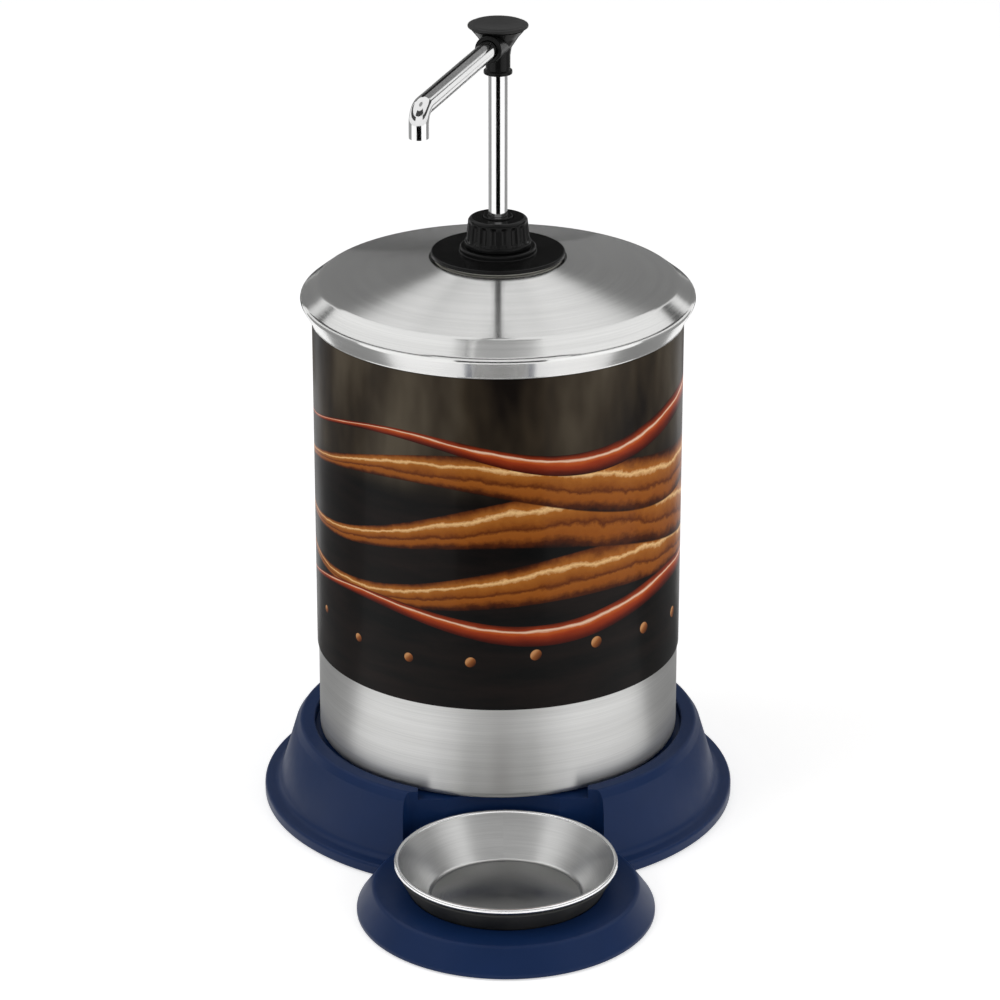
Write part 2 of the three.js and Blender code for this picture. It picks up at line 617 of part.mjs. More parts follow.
/** Locking collar: a tapered cap with grip flutes, screwed down over the neck. */
function lockingCollar() {
  const bodyFoot = collarFoot + collar.baseHeight;
  const shoulder = at(collar.topRadius, collarTop);
  const hole = bushBore + bush.bossWall + clearance;
  const profile = ring([
    at(collarBore, collarFoot), at(collar.baseRadius, collarFoot), at(collar.baseRadius, bodyFoot),
    at(collar.bodyRadius, bodyFoot),
    ...rounded(at(collar.bodyRadius, bodyFoot), shoulder, at(hole, collarTop), collar.topRound, 2),
    at(hole, collarTop), at(hole, collarCeiling), at(collarBore, collarCeiling),
  ]);
  const lean = Math.atan((collar.bodyRadius - collar.topRadius) / (collarTop - bodyFoot));
  const length = collarTop - bodyFoot - collar.fluteBelowTop;
  const flutes = Array.from({ length: fluteCount }, (_, i) => {
    const cut = post(collar.fluteRadius, 0, length + overrun, sides.flute).rotateY(-lean);
    cut.translate(collar.bodyRadius + collar.fluteRadius - collar.fluteDepth, 0, bodyFoot);
    return solidOf(cut.rotateZ((2 * Math.PI * i) / fluteCount));
  });
  const body = flutes.reduce((rest, cut) => rest.subtract(cut), solidOf(revolve(profile, 2 * fluteCount)));
  return piece('locking_collar', geometryOf(body), finishes.blackPlastic);
}

/** Centre height of a ball that rests in a 45 degree cone which starts at a port's rim. */
function ballSeat(portRadius, seatFoot, ball) {
  return seatFoot - portRadius + (ball.radius + clearance) * Math.SQRT2;
}

/** How far above a lifted ball's centre the rim of the hole that stops it lies, with the usual clearance. */
function ballStop(ball, holeRadius) {
  return Math.sqrt(ball.radius ** 2 - holeRadius ** 2) + clearance;
}

/** Chamber radius round a valve ball. */
const chamberOf = (ball) => ball.radius + ball.chamberGap;

/** Piston: bored through, with a ball chamber, a socket for the stem and a groove for its seal. */
function pistonBody() {
  const radius = cylinder.boreRadius - piston.gap;
  const chamber = chamberOf(dischargeBall);
  const grooveTop = pistonTop - piston.grooveAbove;
  const grooveFoot = grooveTop - piston.grooveHeight;
  const grooveFloor = radius - piston.grooveDepth;
  const socket = stem.radius + clearance;
  const socketFloor = stemFoot - clearance;
  const profile = ring([
    at(piston.portRadius, pistonFoot), at(radius, pistonFoot), at(radius, grooveFoot),
    at(grooveFloor, grooveFoot), at(grooveFloor, grooveTop), at(radius, grooveTop),
    at(radius, pistonTop), at(socket, pistonTop), at(socket, socketFloor),
    at(chamber, socketFloor), at(chamber, pistonSeat + chamber - piston.portRadius),
    at(piston.portRadius, pistonSeat),
  ]);
  return piece('piston', revolve(profile, sides.small), finishes.pumpPlastic);
}

/** Piston seal in its groove. */
function pistonSealRing() {
  const inner = cylinder.boreRadius - piston.gap - piston.grooveDepth + clearance;
  const top = pistonTop - piston.grooveAbove - clearance;
  const low = top - piston.grooveHeight + 2 * clearance;
  const seal = washer(inner, cylinder.boreRadius - clearance, low, top, sides.small);
  return piece('piston_seal', seal, finishes.rubber);
}

/** A valve ball. */
function ballPiece(name, ball, centre) {
  const shape = tidy(new THREE.SphereGeometry(ball.radius, sides.tube, sides.rings).rotateX(Math.PI / 2));
  return piece(name, shape.translate(0, 0, centre), finishes.polishedSteel);
}

/** Hollow stem from the piston to the head. */
function stemTube() {
  const tube = washer(stem.radius - stem.wall, stem.radius, stemFoot, stemTop, sides.tube);
  return piece('stem_tube', tube, finishes.polishedSteel);
}

/** Return spring under the piston: one wire whose end turns lie close together. */
function returnSpring() {
  const low = valveTop + clearance + spring.wireRadius;
  const high = pistonFoot - clearance - spring.wireRadius;
  const coilRadius = cylinder.boreRadius - spring.gap - spring.wireRadius;
  const endRise = spring.endPitch * springEndTurns;
  const openTurns = springTurns - 2 * springEndTurns;
  const openPitch = (high - low - 2 * endRise) / openTurns;
  const heightAt = (turn) => {
    if (turn < springEndTurns) return low + turn * spring.endPitch;
    if (turn > springTurns - springEndTurns) return high - (springTurns - turn) * spring.endPitch;
    return low + endRise + (turn - springEndTurns) * openPitch;
  };
  const count = springTurns * stepsPerTurn;
  const centres = Array.from({ length: count + 1 }, (_, i) => {
    const turn = i / stepsPerTurn;
    const angle = 2 * Math.PI * turn;
    return new THREE.Vector3(coilRadius * Math.cos(angle), coilRadius * Math.sin(angle), heightAt(turn));
  });
  reportGap(centres);
  return piece('return_spring', wireAlong(centres), finishes.polishedSteel);
}

/** A five-sided wire through the centres of a coil about Z, closed at both ends. */
function wireAlong(centres) {
  const points = [];
  centres.forEach((centre) => {
    const outwards = new THREE.Vector3(centre.x, centre.y, 0).normalize();
    for (let side = 0; side < sides.wire; side += 1) {
      const turn = (2 * Math.PI * side) / sides.wire;
      const corner = outwards.clone().multiplyScalar(Math.cos(turn)).setZ(Math.sin(turn));
      points.push(centre.clone().addScaledVector(corner, spring.wireRadius));
    }
  });
  const faces = [];
  for (let step = 0; step < centres.length - 1; step += 1) {
    for (let side = 0; side < sides.wire; side += 1) {
      const next = (side + 1) % sides.wire;
      const [a, b] = [step * sides.wire + side, step * sides.wire + next];
      faces.push(a, b, a + sides.wire, b, b + sides.wire, a + sides.wire);
    }
  }
  const last = (centres.length - 1) * sides.wire;
  for (let side = 1; side < sides.wire - 1; side += 1) {
    faces.push(0, side + 1, side, last, last + side, last + side + 1);
  }
  const geometry = new THREE.BufferGeometry().setFromPoints(points);
  geometry.setIndex(faces);
  return volumeOf(geometry) < 0 ? reversed(geometry) : geometry;
}

/** Prints the spring's least gap between neighbouring turns. */
function reportGap(centres) {
  const pitches = centres.slice(stepsPerTurn).map((point, i) => point.distanceTo(centres[i]));
  const gap = Math.min(...pitches) - 2 * spring.wireRadius;
  console.log(`return_spring least gap to itself: ${gap.toFixed(2)} mm`);
}

/** Foot valve: spigot in the cylinder, ball chamber over a cone, and a barb for the dip tube. */
function inletValve() {
  const spigot = cylinder.boreRadius - clearance;
  const chamber = chamberOf(inletBall);
  const profile = ring([
    at(valve.portRadius, barbFoot), at(valve.barbRadius, barbFoot), at(valve.barbRadius, valveFlangeFoot),
    at(cylinderRadius, valveFlangeFoot), at(cylinderRadius, valveFlangeTop), at(spigot, valveFlangeTop),
    at(spigot, valveTop), at(chamber, valveTop), at(chamber, valveSeat + chamber - valve.portRadius),
    at(valve.portRadius, valveSeat),
  ]);
  return piece('inlet_valve', revolve(profile, sides.small), finishes.pumpPlastic);
}

/** Ring at the top of the chamber that keeps the inlet ball in. */
function ballCage() {
  const outer = chamberOf(inletBall) - clearance;
  const disc = washer(cage.holeRadius, outer, cageFoot, valveTop, sides.tube);
  return piece('ball_cage', disc, finishes.pumpPlastic);
}

/** Dip tube over the valve's barb, down to just above the jar's floor. */
function dipTubePiece() {
  const inner = valve.barbRadius + clearance;
  const top = valveFlangeFoot - clearance;
  const tube = washer(inner, inner + dipTube.wall, dipFoot, top, sides.tube);
  return piece('dip_tube', tube, finishes.pumpPlastic);
}

/** Turns a shape made along +Z so that it points along the spout, at the spout's height. */
function towardsSpout(geometry) {
  geometry.rotateX(Math.PI / 2);
  geometry.rotateZ(-THREE.MathUtils.degToRad(spoutDegrees));
  return geometry.translate(0, 0, spoutAxis);
}

/** Outside of the discharge head: foot, body, boss for the spout and a flare that carries the knob. */
function headBlock() {
  const footTop = headFoot + head.footHeight;
  const profile = [
    at(0, headFoot), at(head.footRadius, headFoot), at(head.footRadius, footTop),
    at(head.bodyRadius, footTop),
    at(head.bodyRadius, headFoot + head.bodyHeight), at(head.neckRadius, spoutAxis - head.boreRadius),
    at((head.neckRadius + head.flareRadius) / 2, spoutAxis + head.boreRadius),
    at(head.flareRadius, headTop), at(0, headTop),
  ];
  const boss = towardsSpout(post(head.bossRadius, 0, head.bossReach, sides.small));
  return solidOf(revolve(profile, sides.small)).add(solidOf(boss));
}

/** What is cut along the spout: its socket, the seal's groove and the passage behind it. */
function spoutCuts() {
  const socket = spout.radius + clearance;
  const groove = socket + spoutSeal.thickness + clearance;
  const grooveTop = head.bossReach - spoutSeal.fromMouth + clearance;
  const grooveFoot = grooveTop - spoutSeal.height - 2 * clearance;
  return [
    post(socket, spout.seat, head.bossReach + overrun, sides.tube),
    post(groove, grooveFoot, grooveTop, sides.tube),
    post(head.boreRadius, 0, spout.seat + overrun, sides.tube),
  ].map(towardsSpout);
}

/** Discharge head, hollow from its socket on the stem to the spout. */
function dischargeHead() {
  const pegFoot = headTop - knob.spigotLength - clearance;
  const cuts = [
    ...spoutCuts(),
    post(stem.radius + clearance, headFoot - overrun, headFoot + head.socketDepth, sides.tube),
    post(head.boreRadius, headFoot, spoutAxis, sides.tube),
    post(knob.spigotRadius + clearance, pegFoot, headTop + overrun, sides.tube),
  ].map(solidOf);
  const body = cuts.reduce((rest, cut) => rest.subtract(cut), headBlock());
  return piece('discharge_head', geometryOf(body), finishes.blackPlastic);
}

/** Push knob: a low dome pegged into the top of the head. */
function pushKnob() {
  const low = headTop + clearance;
  const pegFoot = headTop - knob.spigotLength;
  const rimRound = knob.rimHeight / 2;
  const rimCentre = at(knob.radius - rimRound, low + rimRound);
  const profile = [
    at(0, pegFoot), at(knob.spigotRadius, pegFoot), at(knob.spigotRadius, low), at(head.flareRadius, low),
    ...arc(rimCentre, rimRound, ...knobRimDegrees, 4),
    ...domePoints(rimCentre.x, low + knob.rimHeight, knob.domeRise, 4),
  ];
  return piece('push_knob', revolve(profile, sides.medium), finishes.blackPlastic);
}

/** A shallow dome from its rim to its crown on the axis. */
function domePoints(radius, height, rise, steps) {
  return Array.from({ length: steps }, (_, i) => {
    const turn = ((i + 1) / steps) * (Math.PI / 2);
    return at(i + 1 === steps ? 0 : radius * Math.cos(turn), height + rise * Math.sin(turn));
  });
}

/** Centre line of the spout: out level, through a quarter bend, and down. */
class SpoutLine extends THREE.Curve {
  getPoint(share) {
    const straight = spout.reach - spout.bendRadius;
    const step = share * bendSteps;
    if (step <= 1) return this.place(THREE.MathUtils.lerp(spout.seat + clearance, straight, step), 0);
    const tipStep = step - (bendSteps - 1);
    if (tipStep >= 0) return this.place(spout.reach, -spout.bendRadius - spout.tipLength * tipStep);
    const turn = ((step - 1) / (bendSteps - 2)) * (Math.PI / 2);
    return this.place(straight + spout.bendRadius * Math.sin(turn), -spout.bendRadius * (1 - Math.cos(turn)));
  }

  place(out, drop) {
    const turn = THREE.MathUtils.degToRad(spoutDegrees);
    return new THREE.Vector3(-out * Math.sin(turn), -out * Math.cos(turn), spoutAxis + drop);
  }

  getPointAt(share) {
    return this.getPoint(share);
  }

  getTangentAt(share) {
    return this.getTangent(share);
  }
}

/** Spout tube, open at both ends. */
function spoutTube() {
  const section = new THREE.Shape().absarc(0, 0, spout.radius, 0, 2 * Math.PI, false);
  section.holes.push(new THREE.Path().absarc(0, 0, spout.radius - spout.wall, 0, 2 * Math.PI, true));
  const tube = new THREE.ExtrudeGeometry(section, {
    steps: bendSteps, extrudePath: new SpoutLine(), curveSegments: sides.tube / 2, bevelEnabled: false,
  });
  return piece('spout_tube', tidy(tube), finishes.polishedSteel);
}

/** Seal ring round the spout inside the boss. */
function spoutSealRing() {
  const top = head.bossReach - spoutSeal.fromMouth;
  const inner = spout.radius + clearance;
  const seal = washer(inner, inner + spoutSeal.thickness, top - spoutSeal.height, top, sides.tube);
  return piece('spout_seal', towardsSpout(seal), finishes.rubber);
}

const dispenser = new THREE.Group();
dispenser.add(
  baseShell(), ...feet(), dripBowl(), bowlSkirt(),
  jarBody(), jarSleeve(),
  lidShell(), lidSealRing(), flangeGasket(), pumpFlange(), lockNut(), pumpCylinder(),
  guideBush(), stemWiper(), lockingCollar(),
  pistonBody(), pistonSealRing(), ballPiece('discharge_ball', dischargeBall, dischargeBallCentre),
  stemTube(), returnSpring(),
  inletValve(), ballPiece('inlet_ball', inletBall, inletBallCentre), ballCage(), dipTubePiece(),
  dischargeHead(), pushKnob(), spoutTube(), spoutSealRing(),
);

export default dispenser;
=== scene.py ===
"""Countertop syrup dispenser: the moulded base, jar, lid, pump and drip bowl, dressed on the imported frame.

Sizes in the classes are in millimetres and are made metres where a mesh is built. The jar's axis is Z, the
drip bowl is on the -Y side, and every angle round the jar is counted from -Y towards +X. A profile's
points are distance from the axis and height, and a corner has the radius that rounds it as a third number.
"""

import logging
import math
from collections.abc import Iterable, Sequence
from dataclasses import dataclass
from enum import Enum
from functools import cached_property

import bmesh
import bpy
import numpy as np
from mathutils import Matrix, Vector


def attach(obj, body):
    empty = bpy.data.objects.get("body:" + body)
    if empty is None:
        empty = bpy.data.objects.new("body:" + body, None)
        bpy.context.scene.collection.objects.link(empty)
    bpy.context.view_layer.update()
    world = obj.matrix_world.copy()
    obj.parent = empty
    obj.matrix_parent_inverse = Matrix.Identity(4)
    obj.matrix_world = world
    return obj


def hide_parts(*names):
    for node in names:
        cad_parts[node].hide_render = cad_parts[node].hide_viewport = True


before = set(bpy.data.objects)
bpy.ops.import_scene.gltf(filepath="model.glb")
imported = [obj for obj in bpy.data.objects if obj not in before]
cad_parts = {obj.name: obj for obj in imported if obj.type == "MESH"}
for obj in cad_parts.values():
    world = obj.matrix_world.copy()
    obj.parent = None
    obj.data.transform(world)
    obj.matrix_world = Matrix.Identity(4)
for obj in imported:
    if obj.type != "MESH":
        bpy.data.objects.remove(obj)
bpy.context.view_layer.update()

log = logging.getLogger("syrup_dispenser")
MM = 0.001
BOWL_AXIS = (0.0, -136.0)
# The gap between a piece and the hole that it sits in
CLEARANCE = 0.3
# How far a cutting shape goes past what it cuts
PAST = 2.0

Piece = bpy.types.Object
Spot = tuple[float, float]
Triple = tuple[float, float, float]
Corners = tuple[Triple, ...]
Turns = tuple[tuple[str, float], ...]


# Shapes worked out as arrays


def unit(rows: np.ndarray) -> np.ndarray:
    """Each row's direction, 1 long."""
    return rows / np.maximum(np.linalg.norm(rows, axis=1, keepdims=True), 1e-9)


def soften(corners: Sequence[Triple], steps: int = 7) -> np.ndarray:
    """Rounds the corners of a line.

    At a corner, the arc of radius r touches both sides r / tan(half the angle between them) away from
    it, and its centre lies on the bisector, r / sin(half the angle) away.

    Args:
        corners: distance from the axis, height and corner radius of each point, in order.
        steps: how many pieces each arc is cut into.

    Returns:
        The points of the rounded line, one row each.
    """
    table = np.asarray(corners, float)
    points, radius = table[:, :2], table[:, 2:]
    before = unit(np.vstack([points[:1], points[:-1]]) - points)
    after = unit(np.vstack([points[1:], points[-1:]]) - points)
    half = np.arccos(np.clip((before * after).sum(1, keepdims=True), -1, 1)) / 2
    half = np.where(radius > 0, half, math.pi / 4)
    centre = points + unit(before + after) * radius / np.sin(half)
    start = points + before * radius / np.tan(half) - centre
    end = points + after * radius / np.tan(half) - centre
    cross = start[:, :1] * end[:, 1:] - start[:, 1:] * end[:, :1]
    sweep = np.arctan2(cross, (start * end).sum(1, keepdims=True))
    turn = sweep * np.linspace(0, 1, steps + 1)[None, :]
    x = centre[:, :1] + start[:, :1] * np.cos(turn) - start[:, 1:] * np.sin(turn)
    y = centre[:, 1:] + start[:, :1] * np.sin(turn) + start[:, 1:] * np.cos(turn)
    rounded = np.stack([x, y], axis=2).reshape(-1, 2)
    step = np.linalg.norm(np.diff(rounded, axis=0), axis=1)
    return rounded[np.concatenate([[True], step > 1e-4])]


def circle(centre: Spot, radius: float, start: float = 0, stop: float = 360, steps: int = 12) -> np.ndarray:
    """Points round a circle of a profile, from one angle in degrees to another."""
    turn = np.radians(np.linspace(start, stop, steps + 1))
    return np.stack([centre[0] + radius * np.cos(turn), centre[1] + radius * np.sin(turn)], axis=1)


def offset(line: np.ndarray, distance: float) -> np.ndarray:
    """Moves an open line sideways, to the right of its direction, by the same distance everywhere.

    A point moves along the middle of its two sides' normals, by the distance over the middle's part
    along either.

    Args:
        line: the points of the line, one row each.
        distance: how far it moves.

    Returns:
        The moved points.
    """
    along = unit(np.diff(line, axis=0))
    normal = np.stack([along[:, 1], -along[:, 0]], axis=1)
    after = np.vstack([normal, normal[-1:]])
    middle = unit(np.vstack([normal[:1], normal]) + after)
    return line + middle * distance / (middle * after).sum(1, keepdims=True)


def washer(inner: float, outer: float, low: float, high: float, edge: float) -> np.ndarray:
    """The rounded rectangle that a plain ring is turned from."""
    return soften([(inner, low, 0), (outer, low, edge), (outer, high, edge), (inner, high, edge),
                   (inner, low, edge)], 3)


def rod(radius: float, low: float, high: float) -> np.ndarray:
    """The rectangle that a plain rod is turned from."""
    return np.array([(0, low), (radius, low), (radius, high), (0, high)])


def box(half: float, near: float, far: float) -> np.ndarray:
    """The flat outline of a box: half its width across X, and where it starts and ends along Y."""
    return np.array([(-half, near), (half, near), (half, far), (-half, far)])


def spun(profile: np.ndarray, sides: int) -> np.ndarray:
    """A profile turned about Z: x is radius times sine, y is minus radius times cosine.

    Args:
        profile: distance from the axis and height of each point.
        sides: how many points go round.

    Returns:
        A grid of points: along the profile, then round the axis.
    """
    turn = np.linspace(0, 2 * math.pi, sides, endpoint=False)[None, :]
    radius, height = profile[:, :1], profile[:, 1:]
    return np.stack([radius * np.sin(turn), -radius * np.cos(turn), height + 0 * turn], axis=2)


def swept(path: np.ndarray, section: np.ndarray) -> np.ndarray:
    """A section carried along a path.

    At each point of the path the tangent is the difference of its neighbours, and the section's two
    axes are the tangent's cross product with a fixed side direction and that side direction made square
    to the tangent.

    Args:
        path: the points of the centre line, one row each.
        section: across and up of each section point, the same all along the path.

    Returns:
        A grid of points: along the path, then round the section.
    """
    tangent = unit(np.gradient(path, axis=0))
    side = unit(np.cross(path[:1] - path[-1:], (0.0, 0.0, 1.0)))
    side = unit(side - tangent * (side * tangent).sum(1, keepdims=True))
    up = np.cross(side, tangent)
    return path[:, None] + side[:, None] * section[:, :1] + up[:, None] * section[:, 1:]


# Meshes


def placed(name: str, data: bpy.types.ID) -> Piece:
    """Makes an object and puts it in the scene.

    Args:
        name: its name.
        data: its mesh, lamp or camera.

    Returns:
        The object.
    """
    thing = bpy.data.objects.new(name, data)
    bpy.context.scene.collection.objects.link(thing)
    return thing


def settle(piece: Piece, sharp: float = 32.0) -> None:
    """Merges doubles, turns faces outwards, and shades smooth except across sharp edges.

    Args:
        piece: the object whose mesh is settled.
        sharp: the least angle of an edge that stays sharp, in degrees.
    """
    work = bmesh.new()
    work.from_mesh(piece.data)
    bmesh.ops.remove_doubles(work, verts=work.verts, dist=2e-6)
    bmesh.ops.recalc_face_normals(work, faces=work.faces)
    if work.calc_volume(signed=True) < 0:
        bmesh.ops.reverse_faces(work, faces=work.faces)
    work.to_mesh(piece.data)
    work.free()
    piece.data.shade_smooth()
    piece.data.set_sharp_from_angle(angle=math.radians(sharp))


def mesh_of(name: str, grid: np.ndarray, loop: bool) -> Piece:
    """Makes an object from a grid of points in millimetres whose columns close round.

    Args:
        name: the object's name.
        grid: rows, columns and the three coordinates.
        loop: whether the last row joins the first one too.

    Returns:
        The object, with its doubles merged and its faces turned outwards.
    """
    index = np.arange(grid.size // 3).reshape(grid.shape[:2])
    low = index if loop else index[:-1]
    high = np.roll(index, -1, axis=0) if loop else index[1:]
    quads = np.stack([low, np.roll(low, -1, axis=1), np.roll(high, -1, axis=1), high], axis=2).reshape(-1, 4)
    mesh = bpy.data.meshes.new(name)
    mesh.from_pydata((grid.reshape(-1, 3) * MM).tolist(), [], quads.tolist())
    piece = placed(name, mesh)
    settle(piece)
    return piece


def turned(name: str, profile: np.ndarray, centre: Spot = (0, 0), sides: int = 160) -> Piece:
    """A piece turned about an upright axis; a profile that starts off the axis closes on itself."""
    return mesh_of(name, spun(profile, sides) + np.array([*centre, 0.0]), profile[0, 0] > 0)


def block(name: str, outline: np.ndarray, low: float, high: float) -> Piece:
    """An upright block over a flat outline.

    Args:
        name: the object's name.
        outline: x and y of each corner, in order.
        low: the height of its foot.
        high: the height of its top.

    Returns:
        The block.
    """
    rings = np.stack([np.column_stack([outline, np.full(len(outline), level)]) for level in (low, high)])
    middle = rings.mean(axis=1, keepdims=True) + 0 * rings
    return mesh_of(name, np.concatenate([middle[:1], rings, middle[1:]]), False)


def merged(name: str, start: Piece, joins: Iterable[Piece], cuts: Iterable[Piece]) -> Piece:
    """Joins pieces to a first one, cuts others from it, and deletes what it used.

    Args:
        name: the name of what is left.
        start: the first piece.
        joins: the pieces that are added to it.
        cuts: the pieces that are cut from it.

    Returns:
        What is left.
    """
    tools = [(tool, "UNION") for tool in joins] + [(tool, "DIFFERENCE") for tool in cuts]
    for tool, operation in tools:
        step = start.modifiers.new(tool.name, "BOOLEAN")
        step.object = tool
        step.operation = operation
        step.solver = "EXACT"
    graph = bpy.context.evaluated_depsgraph_get()
    mesh = bpy.data.meshes.new_from_object(start.evaluated_get(graph))
    for used in [start, *(tool for tool, _ in tools)]:
        bpy.data.objects.remove(used)
    mesh.name = name
    piece = placed(name, mesh)
    settle(piece)
    return piece


# Materials


@dataclass(frozen=True)
class Signal:
    """What a node gives out. A sum with it makes a Math node."""

    graph: "Graph"
    socket: bpy.types.NodeSocket

    def __add__(self, other: "Value") -> "Signal":
        """This plus another."""
        return self.graph.math("ADD", self, other)

    def __sub__(self, other: "Value") -> "Signal":
        """This less another."""
        return self.graph.math("SUBTRACT", self, other)

    def __mul__(self, other: "Value") -> "Signal":
        """This times another."""
        return self.graph.math("MULTIPLY", self, other)

    def __truediv__(self, other: "Value") -> "Signal":
        """This over another."""
        return self.graph.math("DIVIDE", self, other)


Value = float | Signal
Stops = Sequence[tuple[float, Triple]]


class Graph:
    """The nodes of a material or a world, with one method for each kind of step that they take."""

    def __init__(self, owner: bpy.types.Material | bpy.types.World) -> None:
        """Starts from the one shader that a new material or world has.

        Args:
            owner: the material or world.
        """
        owner.use_nodes = True
        self.nodes, self.links = owner.node_tree.nodes, owner.node_tree.links
        self.shader = next(node for node in self.nodes if node.outputs)

    @cached_property
    def place(self) -> Signal:
        """Where a point is on the object, in metres."""
        return self.step("TexCoord", (), "Object")

    def put(self, socket: bpy.types.NodeSocket, value: object) -> None:
        """Links a socket to a signal, or gives it a constant, where a colour has three parts.

        Args:
            socket: an input of a node.
            value: the signal or the constant.
        """
        if isinstance(value, Signal):
            self.links.new(value.socket, socket)
        else:
            socket.default_value = (*value, 1) if socket.type == "RGBA" else value

    def set(self, **values: object) -> None:
        """Sets or links the shader's own sockets; an underscore in a name stands for a space."""
        for name, value in values.items():
            self.put(self.shader.inputs[name.replace("_", " ")], value)

    def step(self, kind: str, inputs: Sequence[Value] | dict[int | str, object], out: int | str = 0,
             **settings: str) -> Signal:
        """Adds a node.

        Args:
            kind: the node's type, without the words that every shader node's type starts with.
            inputs: what its first inputs get, in order, or what the inputs of these names or places get.
            out: the name or place of the output that is wanted.
            settings: its own settings.

        Returns:
            That output.
        """
        node = self.nodes.new("ShaderNode" + kind)
        for name, setting in settings.items():
            setattr(node, name, setting)
        for key, value in inputs.items() if isinstance(inputs, dict) else enumerate(inputs):
            self.put(node.inputs[key], value)
        return Signal(self, node.outputs[out])

    def math(self, operation: str, first: Value, second: Value = 0.0) -> Signal:
        """The result of one Math node."""
        return self.step("Math", (first, second), operation=operation)

    def join(self, x: Value, y: Value, z: Value) -> Signal:
        """A vector from its three parts."""
        return self.step("CombineXYZ", (x, y, z))

    def split(self, vector: Signal) -> tuple[Signal, ...]:
        """The three parts of a vector."""
        return tuple(self.step("SeparateXYZ", (vector,), part) for part in "XYZ")

    def span(self, value: Value, low: float, high: float, to_low: float, to_high: float,
             kind: str = "LINEAR") -> Signal:
        """Carries a value from one range to another, and clamps it there."""
        return self.step("MapRange", (value, low, high, to_low, to_high), interpolation_type=kind)

    def noise(self, vector: Signal, scale: float, detail: float = 3.0, roughness: float = 0.5) -> Signal:
        """Noise between about 0.25 and 0.75."""
        inputs = {"Vector": vector, "Scale": scale, "Detail": detail, "Roughness": roughness}
        return self.step("TexNoise", inputs)

    def blend(self, share: Value, first: Signal | Triple, second: Signal | Triple) -> Signal:
        """A colour between two; a Mix node has its colours at inputs 6 and 7 and output 2."""
        return self.step("Mix", {0: share, 6: first, 7: second}, 2, data_type="RGBA")

    def relief(self, height: Signal, depth_mm: float, strength: float) -> None:
        """Gives the shader a bump of that depth."""
        inputs = {"Strength": strength, "Distance": depth_mm * MM, "Height": height}
        self.set(Normal=self.step("Bump", inputs))

    def ramp(self, value: Signal, stops: Stops) -> Signal:
        """A colour that runs through stops.

        Args:
            value: a number from 0 to 1.
            stops: the places, and the colours there.

        Returns:
            The colour at the number.
        """
        node = self.nodes.new("ShaderNodeValToRGB")
        self.put(node.inputs[0], value)
        marks = node.color_ramp.elements
        while len(marks) < len(stops):
            marks.new(0.5)
        for mark, (at, colour) in zip(marks, stops):
            mark.position = at
            mark.color = (*colour, 1)
        return Signal(self, node.outputs["Color"])

    def polar(self, centre: Spot = (0, 0)) -> tuple[Signal, Signal, Signal]:
        """Where a point is, seen from an upright axis.

        Args:
            centre: x and y of the axis, in millimetres.

        Returns:
            The angle from -Y towards +X, the distance from the axis in metres, and the height in metres.
        """
        x, y, z = self.split(self.place)
        x, y = x - centre[0] * MM, y - centre[1] * MM
        return self.math("ARCTAN2", x, y * -1.0), self.math("SQRT", x * x + y * y), z

    def rays(self, *kinds: str) -> Signal:
        """Tells kinds of ray from others.

        Args:
            kinds: the kinds, as the Light Path node names them.

        Returns:
            1 for a ray of any of these kinds, and 0 for another.
        """
        path = self.nodes.new("ShaderNodeLightPath")
        found, *others = (Signal(self, path.outputs[kind]) for kind in kinds)
        for other in others:
            found = self.math("MAXIMUM", found, other)
        return found


def shade(colour: Triple, factor: float) -> Triple:
    """A colour made lighter or darker, up to white."""
    return tuple(min(factor * part, 1) for part in colour)


@dataclass(frozen=True)
class Finish:
    """A finish: its material's name, and the name of a slot in the record."""

    name: str
    slot: str

    @cached_property
    def material(self) -> bpy.types.Material:
        """The finish as a Blender material.

        Returns:
            The material, made when a piece first takes it.
        """
        material = bpy.data.materials.new(self.name)
        self.paint(Graph(material))
        return material

    def paint(self, graph: Graph) -> None:
        """Adds the finish's nodes."""
        raise NotImplementedError


class Sheen(Enum):
    """How glossy a moulded piece came out of its tool, as roughness and specular level."""

    SATIN = (0.40, 0.20)
    GLOSS = (0.22, 0.16)
    SOFT = (0.48, 0.30)


@dataclass(frozen=True)
class Moulded(Finish):
    """Moulded plastic: a faint cloudy colour and a fine spark-eroded texture."""

    colour: Triple
    sheen: Sheen = Sheen.SATIN
    grain_mm: float = 0.02

    def paint(self, graph: Graph) -> None:
        """Adds the clouds, the sheen and the texture.

        Args:
            graph: the material's nodes.
        """
        roughness, specular = self.sheen.value
        cloud = graph.noise(graph.place, 28, 4)
        smear = graph.noise(graph.place, 95, 5)
        tones = [(0.35, shade(self.colour, 0.94)), (0.65, shade(self.colour, 1.06))]
        graph.set(
            Base_Color=graph.ramp(cloud, tones),
            Roughness=graph.span(smear, 0.35, 0.65, roughness - 0.02, roughness + 0.03),
            Specular_IOR_Level=specular,
        )
        graph.relief(graph.noise(graph.place, 2600, 2, 0.6), self.grain_mm, 0.35)


